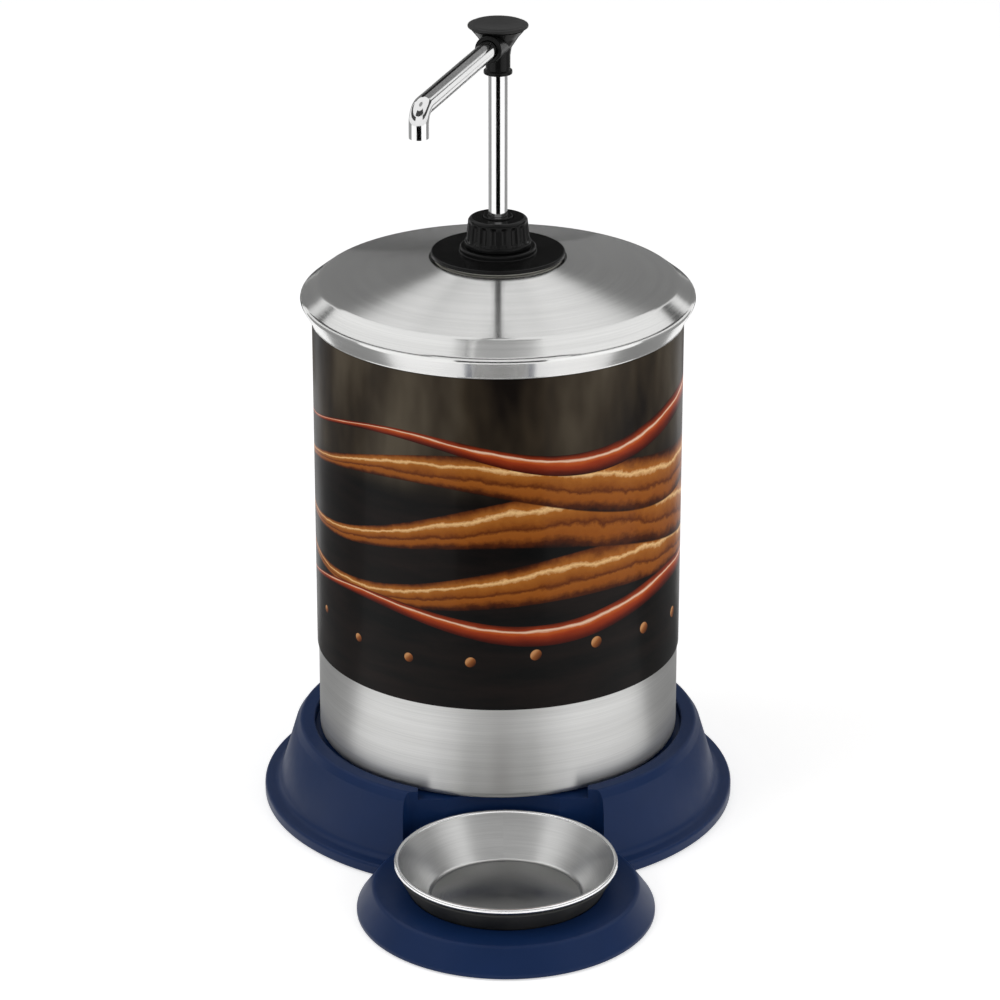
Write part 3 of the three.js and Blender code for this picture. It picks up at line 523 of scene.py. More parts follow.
@dataclass(frozen=True)
class Brushed(Finish):
    """Steel brushed round an upright axis: fine long lines, and reflections drawn out across them.

    Near the axis, inside a radius given in millimetres, the sheet was left unbrushed and smoother, and its
    colour is darkened there as a painted dark reflection.
    """

    colour: Triple
    roughness: float
    anisotropy: float
    centre: Spot = (0, 0)
    lines_per_mm: float = 1.6
    line_share: float = 0.06
    smooth_and_painted_dark_radius: float = 0.0
    painted_reflection_tone: float = 0.52
    calm_smoothing: float = 0.3

    def paint(self, graph: Graph) -> None:
        """Adds the brush lines, the smoother middle with its painted dark reflection, and the drawn-out
        reflections.

        Args:
            graph: the material's nodes.
        """
        angle, radius, height = graph.polar(self.centre)
        lines = self.lines_per_mm / MM
        out, up = radius * lines, height * lines
        fine = graph.noise(graph.join(angle * 1.4, out, up), 1.0, 3, 0.6)
        broad = graph.noise(graph.join(angle * 0.5, out * 0.12, up * 0.12), 1.0, 2)
        dark, light = (shade(self.colour, 1 + share) for share in (-self.line_share, self.line_share))
        tone = graph.ramp(fine * 0.6 + broad * 0.4, [(0.36, dark), (0.64, light)])
        # 1 near the axis, where the sheet is smoother and its colour is darkened as a painted dark reflection
        smooth_and_painted_dark = graph.span(radius, self.smooth_and_painted_dark_radius * MM, (self.smooth_and_painted_dark_radius + 2) * MM, 1.0, 0.0)
        clouds = graph.span(graph.noise(graph.place, 18, 4, 0.55), 0.3, 0.7, -0.012, 0.018)
        brushed = graph.span(fine, 0.3, 0.7, self.roughness - 0.02, self.roughness + 0.02)
        graph.set(
            # Near the axis the colour is darkened: a painted dark reflection
            Base_Color=graph.blend(smooth_and_painted_dark, tone, shade(self.colour, self.painted_reflection_tone)),
            Metallic=1.0,
            Roughness=smooth_and_painted_dark * (-self.calm_smoothing * self.roughness) + clouds + brushed,
            Anisotropic=self.anisotropy,
            Anisotropic_Rotation=0.25,
            Tangent=graph.step("Tangent", (), direction_type="RADIAL", axis="Z"),
        )
        graph.relief(fine, 0.0003, 0.4)


@dataclass(frozen=True)
class Polished(Finish):
    """Polished steel with faint lines left by the buffing wheel, and a few dull patches."""

    colour: Triple = (0.78, 0.78, 0.78)
    roughness: float = 0.09

    def paint(self, graph: Graph) -> None:
        """Adds the buffing lines and the patches.

        Args:
            graph: the material's nodes.
        """
        x, y, z = graph.split(graph.place)
        buffed = graph.noise(graph.join(x * 900.0, y * 900.0, z * 120.0), 1.0, 3)
        patches = graph.noise(graph.place, 45, 4)
        graph.set(
            Base_Color=graph.ramp(buffed, [(0.3, self.colour), (0.7, shade(self.colour, 1.06))]),
            Metallic=1.0,
            Roughness=graph.span(patches, 0.35, 0.7, self.roughness - 0.03, self.roughness + 0.05),
        )
        graph.relief(buffed, 0.002, 0.3)


@dataclass(frozen=True)
class Rubber(Finish):
    """Matt moulded rubber with a dusty bloom in places."""

    colour: Triple = (0.018, 0.018, 0.017)
    roughness: float = 0.62

    def paint(self, graph: Graph) -> None:
        """Adds the bloom and the texture.

        Args:
            graph: the material's nodes.
        """
        bloom = graph.noise(graph.place, 60, 5, 0.6)
        graph.set(
            Base_Color=graph.ramp(bloom, [(0.4, self.colour), (0.75, shade(self.colour, 1.7))]),
            Roughness=graph.span(bloom, 0.35, 0.7, self.roughness - 0.08, self.roughness + 0.1),
        )
        graph.relief(graph.noise(graph.place, 1800, 3, 0.6), 0.03, 0.4)


class Glaze(Enum):
    """The tones across a wave, from its lower edge to its upper edge: place, then red, green and blue."""

    CARAMEL = (
        (0.00, (0.016, 0.004, 0.002)), (0.10, (0.075, 0.016, 0.003)), (0.22, (0.300, 0.082, 0.010)),
        (0.32, (0.340, 0.100, 0.013)), (0.38, (0.120, 0.026, 0.004)), (0.46, (0.280, 0.078, 0.010)),
        (0.62, (0.420, 0.140, 0.020)), (0.70, (0.920, 0.580, 0.260)), (0.76, (0.440, 0.145, 0.022)),
        (0.92, (0.150, 0.036, 0.006)), (1.00, (0.030, 0.007, 0.002)),
    )
    SYRUP = (
        (0.00, (0.020, 0.002, 0.001)), (0.20, (0.110, 0.010, 0.003)), (0.46, (0.340, 0.040, 0.008)),
        (0.60, (0.560, 0.110, 0.020)), (0.68, (0.950, 0.680, 0.480)), (0.76, (0.330, 0.040, 0.008)),
        (1.00, (0.030, 0.003, 0.001)),
    )


@dataclass(frozen=True)
class Ribbon:
    """One wave of the wrap's pattern.

    Its middle height, swing and half width are in metres, waves is how many go round the jar, phase and
    widest_at are angles in radians, and grain is how far crumbs shift its tones.
    """

    middle: float
    swing: float
    waves: float
    phase: float
    width: float
    widest_at: float
    glaze: Glaze = Glaze.CARAMEL
    grain: float = 0.035


@dataclass(frozen=True)
class PrintedFilm(Finish):
    """Glossy film printed with caramel waves, syrup-red lines and round drops on a dark ground.

    The pattern's heights and sizes are in metres, as the shader's coordinates are.
    """

    ribbons: tuple[Ribbon, ...] = (
        Ribbon(0.1440, 0.0080, 2, 0.4, 0.0125, 0.70),
        Ribbon(0.1700, 0.0110, 2, 1.1, 0.0165, 0.85),
        Ribbon(0.1960, 0.0100, 2, 2.2, 0.0140, 0.75),
        Ribbon(0.2150, 0.0070, 3, 3.4, 0.0065, 0.95, Glaze.SYRUP, 0.01),
        Ribbon(0.1280, 0.0060, 3, 4.1, 0.0060, 0.60, Glaze.SYRUP, 0.01),
    )
    ground_from: float = 0.188
    ground_to: float = 0.206
    drops: int = 18
    drop_pitch: float = 0.0314
    drop_height: float = 0.1105
    drop_swing: float = 0.0035
    drop_radius: float = 0.0023
    drop_swell: float = 0.0007
    biggest_at: float = 0.9

    def ground(self, graph: Graph, angle: Signal, height: Signal) -> Signal:
        """The dark ground: warm grey with soft upright shadows above, near black below.

        Args:
            graph: the material's nodes.
            angle: the angle round the jar.
            height: the height, in metres.

        Returns:
            Its colour.
        """
        x, y = graph.math("SINE", angle), graph.math("COSINE", angle)
        streaks = graph.noise(graph.join(x, y, height * 4.0), 2.6, 3, 0.55)
        upper = graph.ramp(streaks, [(0.34, (0.006, 0.004, 0.003)), (0.50, (0.036, 0.026, 0.016)),
                                     (0.7, (0.090, 0.072, 0.049))])
        planks = graph.noise(graph.join(x, y, height * 60.0), 1.7, 4, 0.6)
        lower = graph.ramp(planks, [(0.35, (0.0015, 0.0015, 0.0015)), (0.7, (0.010, 0.006, 0.005))])
        share = graph.span(height, self.ground_from, self.ground_to, 0, 1, "SMOOTHSTEP")
        return graph.blend(share, lower, upper)

    def wave(self, graph: Graph, angle: Signal, height: Signal, ribbon: Ribbon) -> tuple[Signal, Signal]:
        """One wave of glaze.

        Its centre line is middle + swing * sin(waves * angle + phase). Its half width is greatest at
        widest_at and falls with the square of half a cosine to a thread on the far side.

        Args:
            graph: the material's nodes.
            angle: the angle round the jar.
            height: the height, in metres.
            ribbon: the wave's sizes and glaze.

        Returns:
            Its colour across, and 1 where it is and 0 elsewhere.
        """
        line = graph.math("SINE", angle * ribbon.waves + ribbon.phase) * ribbon.swing + ribbon.middle
        swell = graph.math("POWER", graph.math("COSINE", angle - ribbon.widest_at) * 0.5 + 0.5, 2.0)
        across = (height - line) / ((swell * 0.88 + 0.12) * ribbon.width)
        inside = graph.span(graph.math("ABSOLUTE", across), 0.93, 1.0, 1.0, 0.0, "SMOOTHSTEP")
        flow = graph.noise(graph.join(angle * 2.2, across * 0.5, ribbon.phase), 1.5, 2)
        crumbs = graph.noise(graph.place, 260, 5, 0.6)
        tone = graph.span(across, -1, 1, 0, 1) + graph.span(flow, 0.3, 0.7, -0.07, 0.07)
        tone = tone + graph.span(crumbs, 0.3, 0.7, -ribbon.grain, ribbon.grain)
        return graph.ramp(tone, ribbon.glaze.value), inside

    def drop(self, graph: Graph, angle: Signal, height: Signal) -> tuple[Signal, Signal]:
        """The row of round drops under the waves, each with a light side and a dark side.

        Args:
            graph: the material's nodes.
            angle: the angle round the jar.
            height: the height, in metres.

        Returns:
            Their colour, and 1 where they are and 0 elsewhere.
        """
        across = (graph.math("FRACT", angle * (self.drops / (2 * math.pi))) - 0.5) * self.drop_pitch
        up = height - self.drop_height - graph.math("SINE", angle * 3.0) * self.drop_swing
        size = graph.math("COSINE", angle - self.biggest_at) * self.drop_swell + self.drop_radius
        away = graph.math("SQRT", across * across + up * up) / size
        side = graph.span((up - across) / size, -1.4, 1.4, 0, 1)
        colour = graph.ramp(side, [(0.05, (0.060, 0.016, 0.005)), (0.5, (0.300, 0.095, 0.026)),
                                   (0.8, (0.620, 0.300, 0.120))])
        return colour, graph.span(away, 0.92, 1.04, 1.0, 0.0, "SMOOTHSTEP")

    def paint(self, graph: Graph) -> None:
        """Adds the ground, the waves and the drops, one over the other, and the film's gloss.

        Args:
            graph: the material's nodes.
        """
        angle, _, height = graph.polar()
        colour = self.ground(graph, angle, height)
        layers = [self.wave(graph, angle, height, ribbon) for ribbon in self.ribbons]
        for print_colour, inside in [*layers, self.drop(graph, angle, height)]:
            colour = graph.blend(inside, colour, print_colour)
        graph.set(
            Base_Color=colour,
            Roughness=graph.span(graph.noise(graph.place, 35, 4), 0.3, 0.7, 0.32, 0.40),
            Specular_IOR_Level=0.08,
            Coat_Weight=0.04,
            Coat_Roughness=0.1,
        )
        graph.relief(graph.noise(graph.place, 1400, 2), 0.006, 0.25)


NAVY = Moulded("navy_plastic", "base_plastic", (0.005, 0.021, 0.080))
BLACK = Moulded("black_plastic", "black_plastic", (0.005, 0.005, 0.005), Sheen.GLOSS, 0.006)
# The knob's black is lighter than the other black plastic: painted light for the sheen on its top
KNOB = Moulded("knob_plastic", "black_plastic", (0.020, 0.020, 0.020), Sheen.SOFT, 0.008)
NATURAL = Moulded("natural_plastic", "pump_plastic", (0.78, 0.76, 0.70), Sheen.SATIN, 0.010)
SILICONE = Moulded("pale_silicone", "seal", (0.70, 0.68, 0.62), Sheen.SOFT, 0.006)
RUBBER = Rubber("black_rubber", "rubber")
# Jar, lid and dish are one brushed steel; their colours differ as painted shade and light, darker on the jar
# and lighter on the lid and dish
JAR_STEEL = Brushed("jar_steel", "brushed_steel", (0.62, 0.62, 0.61), 0.42, 0.6, line_share=0.09)
LID_STEEL = Brushed("lid_steel", "brushed_steel", (0.74, 0.74, 0.73), 0.16, 0.9)
# Inside 36 mm the dish's floor is smoother, and its colour is darkened as a painted dark reflection
DISH_STEEL = Brushed("dish_steel", "brushed_steel", (0.80, 0.80, 0.79), 0.32, 0.4, BOWL_AXIS,
                     smooth_and_painted_dark_radius=36.0)
# The rolled rim's steel is lighter than the other polished steel: painted light for its bright highlight
RIM_STEEL = Polished("rim_steel", "polished_steel", (0.95, 0.95, 0.95), 0.16)
POLISHED = Polished("polished_steel", "polished_steel")
FILM = PrintedFilm("printed_film", "print")


def dress(piece: Piece, finish: Finish, body: str, *nodes: str) -> None:
    """Finishes a piece, puts it on its body, and hides the solids that it stands for.

    Args:
        piece: the finished object.
        finish: its finish, which also holds the name of a slot in the record.
        body: the body that it rides on.
        nodes: the solids that it replaces.
    """
    piece.data.materials.clear()
    piece.data.materials.append(finish.material)
    piece.modifiers.new("even_normals", "WEIGHTED_NORMAL").keep_sharp = True
    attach(piece, body)
    if nodes:
        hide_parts(*nodes)
    log.info("%s rides on %s, %d faces", piece.name, body, len(piece.data.polygons))


# Sub-assemblies


@dataclass
class Base:
    """The moulded base with its pocket, bite and well, and the feet under it."""

    seat_radius: float = 92.6
    seat_height: float = 35.0
    rim_height: float = 39.5
    rim_radius: float = 98.8
    shoulder_round: float = 3.8
    rim_slope: float = 1.1
    wall_foot_radius: float = 108.9
    wall_flare: float = 2.2
    flange_radius: float = 118.6
    flange_height: float = 7.2
    flange_edge_height: float = 6.2
    foot_drop: float = 0.8
    wall: float = 3.0
    lobe_radius: float = 71.5
    lobe_edge_height: float = 2.6
    lobe_bevel: float = 8.1
    deck_height: float = 13.6
    well_floor: float = 4.5
    well_floor_radius: float = 38.2
    well_flare: float = 0.2
    well_jacket: float = 2.8
    bite_radius: float = 55.5
    pocket_half_width: float = 49.0
    pocket_back: float = 88.0
    pocket_round: float = 5.0
    notch_half_width: float = 41.5
    notch_front: float = -200.0
    notch_back: float = -60.0
    foot_radius: float = 7.5
    foot_height: float = 2.3
    foot_inset: float = 12.6
    ring_feet: Turns = (("foot_back_right", 118), ("foot_back_left", 242),
                        ("foot_front_left", 297), ("foot_front_right", 63))
    lobe_feet: Turns = (("foot_lobe_left", 325), ("foot_lobe_right", 35))
    socket_depth: float = 2.6
    hollow_plate: float = 4.4
    hollow_knee: float = 11.5
    hollow_ease: float = 1.5
    rib_reach: float = 98.6
    rib_half: float = 1.2
    rib_foot: float = 9.0
    hub_radius: float = 13.0
    boss_radius: float = 9.5
    tool_foot: float = -3.0

    def plinth(self) -> Piece:
        """The outside of the plinth as a solid of revolution.

        Returns:
            The plinth.
        """
        shoulder = self.rim_radius + self.shoulder_round
        return turned("plinth", soften([
            (0, self.foot_drop, 0), (self.flange_radius, self.foot_drop, 0.5),
            (self.flange_radius, self.flange_edge_height, 1.6),
            (self.wall_foot_radius + self.wall_flare, self.flange_height, 4.4),
            (shoulder, self.rim_height - self.shoulder_round, 2.0),
            (self.rim_radius + self.rim_slope, self.rim_height, 2.4),
            (self.seat_radius, self.rim_height, 1.0), (self.seat_radius, self.seat_height, 0.8),
            (0, self.seat_height, 0),
        ]), sides=192)

    def lobe(self) -> Piece:
        """The outside of the lobe as a solid of revolution.

        Returns:
            The lobe.
        """
        return turned("lobe", soften([
            (0, self.foot_drop, 0), (self.lobe_radius, self.foot_drop, 0.4),
            (self.lobe_radius, self.lobe_edge_height, 1.6),
            (self.lobe_radius - self.lobe_bevel, self.deck_height, 3.0), (0, self.deck_height, 0),
        ]), BOWL_AXIS)

    def pocket(self, grow: float = 0.0) -> list[Piece]:
        """The square pocket and the round bite in front of the jar.

        Args:
            grow: how far they are grown outwards, for the walls round them.

        Returns:
            The two pieces that are cut away.
        """
        half, back, corner = self.pocket_half_width + grow, grow - self.pocket_back, self.pocket_round + grow
        front = -self.flange_radius - PAST
        outline = soften([(0, front, 0), (half, front, 0), (half, back, corner), (-half, back, corner),
                          (-half, front, 0), (0, front, 0)])[:-1]
        floor, top = self.deck_height - grow, self.rim_height + PAST
        bite = turned("bite", rod(self.bite_radius + grow, floor, top), BOWL_AXIS)
        return [block("pocket", outline, floor, top), bite]

    def well(self, grow: float = 0.0) -> Piece:
        """The cone that the bowl sits in.

        Args:
            grow: how far it is grown outwards, for the wall round it.

        Returns:
            The piece that is cut away.
        """
        low = self.well_floor if grow == 0 else -PAST
        rise = self.deck_height - self.well_floor + PAST
        foot, top = self.well_floor_radius + grow, self.well_floor + rise
        return turned("well", np.array([
            (0, low), (foot, low), (foot, self.well_floor), (foot + rise + self.well_flare, top), (0, top),
        ]), BOWL_AXIS)

    def hollow(self) -> Piece:
        """What is open under the moulding, with the walls, ribs, hub and foot bosses left standing.

        Returns:
            The piece that is cut away.
        """
        ceiling = self.seat_height - self.wall
        inner, edge = self.flange_radius - self.wall, self.lobe_radius - self.wall
        shoulder = self.rim_radius + self.shoulder_round - self.wall
        main = turned("plinth_hollow", np.array([
            (0, -PAST), (inner, -PAST), (inner, self.hollow_plate),
            (self.wall_foot_radius, self.hollow_plate), (self.wall_foot_radius - self.wall, self.hollow_knee),
            (shoulder, ceiling), (0, ceiling),
        ]), sides=96)
        under = self.deck_height - self.wall
        front = turned("lobe_hollow", np.array([
            (0, -PAST), (edge, -PAST), (edge, self.lobe_edge_height),
            (edge - self.lobe_bevel + self.hollow_ease, under), (0, under),
        ]), BOWL_AXIS, 96)
        rib = box(self.rib_reach, -self.rib_half, self.rib_half)
        ribs = [block(name, outline, self.rib_foot, ceiling + PAST)
                for name, outline in (("rib_across", rib), ("rib_along", rib[:, ::-1]))]
        hub = turned("hub", rod(self.hub_radius, self.tool_foot, ceiling + PAST), sides=64)
        boss = rod(self.boss_radius, self.tool_foot, self.rib_foot)
        bosses = [turned(f"boss_{name}", boss, at, 48)
                  for name, at in self.feet().items() if name != "foot_centre"]
        kept = [*self.pocket(self.wall), self.well(self.well_jacket), *ribs, hub, *bosses]
        return merged("hollow", main, [front], kept)

    def feet(self) -> dict[str, Spot]:
        """Where the feet are.

        Returns:
            The middle of each foot's pad, by the foot's name.
        """
        places = {"foot_centre": (0.0, 0.0)}
        for feet, radius, axis in ((self.ring_feet, self.flange_radius, 0.0),
                                   (self.lobe_feet, self.lobe_radius, BOWL_AXIS[1])):
            for name, degrees in feet:
                reach, turn = radius - self.foot_inset, math.radians(degrees)
                places[name] = (reach * math.sin(turn), axis - reach * math.cos(turn))
        return places

    def build(self) -> None:
        """Makes the moulding and its feet."""
        notch = block("notch", box(self.notch_half_width, self.notch_front, self.notch_back),
                      self.seat_height, self.rim_height + PAST)
        socket = rod(self.foot_radius + CLEARANCE, self.tool_foot, self.socket_depth)
        sockets = [turned(f"socket_{name}", socket, at, 48) for name, at in self.feet().items()]
        cuts = [*self.pocket(), self.well(), notch, self.hollow(), *sockets]
        dress(merged("base_moulding", self.plinth(), [self.lobe()], cuts), NAVY, "base", "base_shell")
        pad = soften([(0, 0, 0), (self.foot_radius, 0, 0.5), (self.foot_radius, self.foot_height, 0.3),
                      (0, self.foot_height, 0)], 3)
        for name, at in self.feet().items():
            dress(turned(f"{name}_pad", pad, at, 48), RUBBER, "base", name)


@dataclass
class DripBowl:
    """The steel drip bowl and the rubber skirt that it sits in."""

    floor_radius: float = 37.0
    floor_height: float = 7.0
    height: float = 19.0
    mouth_radius: float = 51.0
    sheet: float = 1.0
    bead_radius: float = 1.25
    bead_hollow: float = 0.45
    bead_from: float = -150.0
    bead_to: float = 182.0
    floor_round: float = 3.0
    knee_radius: float = 47.2
    knee_height: float = 14.0
    foot_radius: float = 38.4
    foot_height: float = 4.8
    top_radius: float = 52.5
    top_below_rim: float = 2.2
    lip_inner: float = 30.0

    def build(self) -> None:
        """Makes the dish, its polished rim and the skirt."""
        rim_height = self.floor_height + self.height
        inside = soften([(0, self.floor_height, 0), (self.floor_radius, self.floor_height, self.floor_round),
                         (self.mouth_radius, rim_height, 0)])
        dish = np.vstack([offset(inside, self.sheet), inside[::-1]])
        dish[[0, -1], 0] = 0
        dress(turned("drip_dish", dish, BOWL_AXIS, 192), DISH_STEEL, "bowl", "drip_bowl")
        middle = (self.mouth_radius + self.bead_radius, rim_height)
        bead = np.vstack([circle(middle, self.bead_radius, self.bead_from, self.bead_to, 24),
                          circle(middle, self.bead_radius * self.bead_hollow, self.bead_to, self.bead_from)])
        dress(turned("rolled_rim", bead, BOWL_AXIS, 192), RIM_STEEL, "bowl")
        grip = offset(inside, self.sheet + CLEARANCE)[1:]
        top = rim_height - self.top_below_rim
        low, high = grip[-2], grip[-1]
        grip[-1] = low + (high - low) * (top - low[1]) / (high[1] - low[1])
        outer = soften([
            (self.lip_inner, self.foot_height, 0), (self.foot_radius, self.foot_height, 0.8),
            (self.knee_radius, self.knee_height, 0.9), (self.top_radius, top, 0.7), (grip[-1][0], top, 0.3),
            (low[0], low[1], 0),
        ], 5)[:-1]
        tail = np.array([[self.lip_inner, grip[0][1]]])
        inward = grip[:-1][::-1]
        skirt = np.vstack([outer, inward[inward[:, 0] > self.lip_inner], tail])
        dress(turned("bowl_grip", skirt, BOWL_AXIS), RUBBER, "bowl", "bowl_skirt")


@dataclass
class Jar:
    """The lift-out jar and the printed film round it."""

    radius: float = 90.0
    foot: float = 35.3
    top: float = 262.0
    sheet: float = 1.2
    corner_round: float = 4.0
    hem_radius: float = 1.3
    hem_drop: float = 2.4
    hem_start: float = 0.2
    film_inner: float = 90.3
    film_outer: float = 90.7
    film_foot: float = 83.8
    film_top: float = 253.7
    sides: int = 224

    def build(self) -> None:
        """Makes the jar's wall with its hem, and the film."""
        inner, floor = self.radius - self.sheet, self.foot + self.sheet
        shoulder = self.top - self.hem_radius
        hem = circle((self.radius - self.hem_radius, shoulder), self.hem_radius, 0, 180)
        outside = soften([(0, self.foot, 0), (self.radius, self.foot, self.corner_round),
                          (self.radius, shoulder - self.hem_start, 0)])
        inside = soften([(self.radius - 2 * self.hem_radius, shoulder - self.hem_drop / 2, 0.4),
                         (inner, shoulder - self.hem_drop, 0.4),
                         (inner, floor, self.corner_round - self.sheet), (0, floor, 0)])
        wall = turned("jar_wall", np.vstack([outside, hem, inside]), sides=self.sides)
        dress(wall, JAR_STEEL, "canister", "jar")
        film = washer(self.film_inner, self.film_outer, self.film_foot, self.film_top, 0.12)
        dress(turned("wrap_film", film, sides=self.sides), FILM, "canister", "jar_sleeve")


@dataclass
class Lid:
    """The lift-off lid, its seal ring, and what clamps the pump through it."""

    sheet: float = 0.9
    edge_radius: float = 91.3
    edge: float = 254.3
    waist_radius: float = 96.9
    waist: float = 265.0
    crease_radius: float = 87.3
    crease: float = 272.5
    land_radius: float = 33.5
    land: float = 284.0
    hole: float = 13.6
    gasket_radius: float = 31.0
    gasket_top: float = 285.0
    nut_radius: float = 20.78
    nut_foot: float = 276.5
    nut_top: float = 282.8
    spigot: float = 13.2
    seal: Corners = ((85.6, 257.3, 0), (87.1, 257.3, 0.5), (87.1, 262.3, 0.2), (91.7, 262.3, 0.5),
                     (91.7, 267.1, 0.4), (85.6, 271.0, 0.4), (85.6, 257.3, 0.5))

    def build(self) -> None:
        """Makes the lid, its seal, the gasket under the pump and the nut."""
        outside = soften([
            (self.edge_radius, self.edge, 0), (self.waist_radius, self.waist, 2.6),
            (self.crease_radius, self.crease, 6.0), (self.land_radius, self.land, 2.0),
            (self.hole, self.land, 0),
        ], 10)
        inside = offset(outside, -self.sheet)[::-1]
        edge = (outside[0] + inside[-1]) / 2
        roll = circle((edge[0], edge[1]), self.sheet / 2, 150, 390, 8)
        shell = turned("lid_shell", np.vstack([roll, outside[1:], inside[:-1]]), sides=256)
        dress(shell, LID_STEEL, "cover", "lid")
        dress(turned("lid_ring_seal", soften(self.seal, 4), sides=192), SILICONE, "cover", "lid_seal")
        bore = self.spigot + CLEARANCE
        gasket = washer(bore, self.gasket_radius, self.land + CLEARANCE, self.gasket_top, 0.2)
        dress(turned("gasket_disc", gasket, sides=128), SILICONE, "cover", "flange_gasket")
        nut = soften([(0, self.nut_foot, 0), (self.nut_radius, self.nut_foot, 0.8),
                      (self.nut_radius, self.nut_top, 0.8), (0, self.nut_top, 0)], 3)
        hole = turned("nut_hole", rod(bore, self.nut_foot - PAST, self.nut_top + PAST), sides=64)
        dress(merged("clamp_nut", turned("nut_block", nut, sides=6), [], [hole]), BLACK, "cover", "lock_nut")


@dataclass
class PumpBody:
    """What stays on the lid: flange, collar, bush, cylinder, foot valve and dip tube."""

    neck_radius: float = 12.4
    collar_foot: float = 290.1
    collar_top: float = 304.2
    collar_base: float = 16.2
    collar_base_height: float = 2.4
    collar_body: float = 15.5
    collar_crown: float = 14.4
    collar_round: float = 2.4
    collar_hole: float = 7.5
    collar_ceiling: float = 300.2
    flutes: int = 18
    flute_depth: float = 0.95
    flute_share: float = 0.62
    flute_from: float = 0.2
    flute_fade: float = 1.2
    flute_below_top: float = 1.2
    flute_top_fade: float = 2.2
    flute_skin: float = 1.2
    dip_inner: float = 4.2
    dip_outer: float = 5.3
    dip_foot: float = 42.5
    dip_top: float = 180.6
    flange: Corners = ((10.9, 272.7, 0), (13.2, 272.7, 0.5), (13.2, 285.3, 0), (32.7, 285.3, 0.3),
                       (32.7, 287.2, 0.9), (18.6, 287.2, 0.4), (18.6, 289.8, 0.9), (12.4, 289.8, 0.2),
                       (12.4, 294.8, 0.3), (10.9, 294.8, 0.3), (10.9, 272.7, 0.3))
    bush: Corners = ((4.9, 290.3, 0), (8.9, 290.3, 0.4), (8.9, 296.9, 0), (12.4, 296.9, 0.3),
                     (12.4, 299.9, 0.3), (7.2, 299.9, 0.2), (7.2, 305.0, 0.5), (4.9, 305.0, 0.3),
                     (4.9, 295.0, 0), (6.8, 295.0, 0), (6.8, 292.7, 0), (4.9, 292.7, 0), (4.9, 290.3, 0.3))
    cylinder: Corners = ((9.2, 184.6, 0), (10.6, 184.6, 0.3), (10.6, 295.1, 0.2), (12.4, 295.1, 0.3),
                         (12.4, 296.6, 0.3), (9.2, 296.6, 0.3), (9.2, 184.6, 0.3))
    valve: Corners = ((2.4, 166.9, 0), (3.5, 166.9, 0.2), (3.9, 168.4, 0.2), (3.9, 180.9, 0.2),
                      (10.6, 180.9, 0.6), (10.6, 184.3, 0.4), (8.9, 184.3, 0), (8.9, 193.43, 0.3),
                      (4.4, 193.43, 0.2), (4.4, 186.9, 0), (2.4, 184.9, 0))

    def collar(self) -> Piece:
        """The collar: a turned cap whose side is cut by flutes.

        The radius at each point is the profile's, less the flute's depth times a bump that is 1 at the
        middle of a flute and 0 between two, and that fades out below the top round and above the foot.

        Returns:
            The collar.
        """
        foot, bore = self.collar_foot + self.collar_base_height, self.neck_radius + CLEARANCE
        body = np.linspace((self.collar_body, foot), (self.collar_crown, self.collar_top), 30)
        crown = soften([(*body[-4], 0), (self.collar_crown, self.collar_top, self.collar_round),
                        (self.collar_hole, self.collar_top, 0)], 9)
        low = soften([(bore, self.collar_foot, 0), (self.collar_base, self.collar_foot, 0.4),
                      (self.collar_base, foot, 0.5), (self.collar_body, foot, 0)], 5)
        inner = np.array([(self.collar_hole, self.collar_ceiling), (bore, self.collar_ceiling)])
        grid = spun(np.vstack([low, body[1:-8], crown[1:], inner]), self.flutes * 20)
        turn = np.arctan2(grid[..., 0], -grid[..., 1])
        beat = np.abs((turn * self.flutes / (2 * math.pi)) % 1 - 0.5) * 2
        scallop = np.sqrt(np.clip(1 - (beat / self.flute_share) ** 2, 0, 1))
        height, radius = grid[..., 2], np.hypot(grid[..., 0], grid[..., 1])
        rise = np.clip((height - foot - self.flute_from) / self.flute_fade, 0, 1)
        rise *= np.clip((self.collar_top - self.flute_below_top - height) / self.flute_top_fade, 0, 1)
        depth = self.flute_depth * scallop * rise * (3 - 2 * rise) * rise
        depth = np.where(radius > self.neck_radius + self.flute_skin, depth, 0)
        grid[..., :2] *= (1 - depth / radius)[..., None]
        return mesh_of("grip_collar", grid, True)

    def build(self) -> None:
        """Makes every piece of the pump that stays on the lid."""
        dress(turned("flange_disc", soften(self.flange, 6), sides=192), BLACK, "cover", "pump_flange")
        dress(self.collar(), BLACK, "collar", "locking_collar")
        dress(turned("stem_guide", soften(self.bush, 4), sides=96), BLACK, "bush", "guide_bush")
        dip = washer(self.dip_inner, self.dip_outer, self.dip_foot, self.dip_top, 0.3)
        for name, profile, sides, node in (
            ("cylinder_tube", soften(self.cylinder, 4), 96, "pump_cylinder"),
            ("foot_valve", soften(self.valve, 3), 96, "inlet_valve"),
            ("suction_tube", dip, 64, "dip_tube"),
        ):
            dress(turned(name, profile, sides=sides), NATURAL, "cover", node)


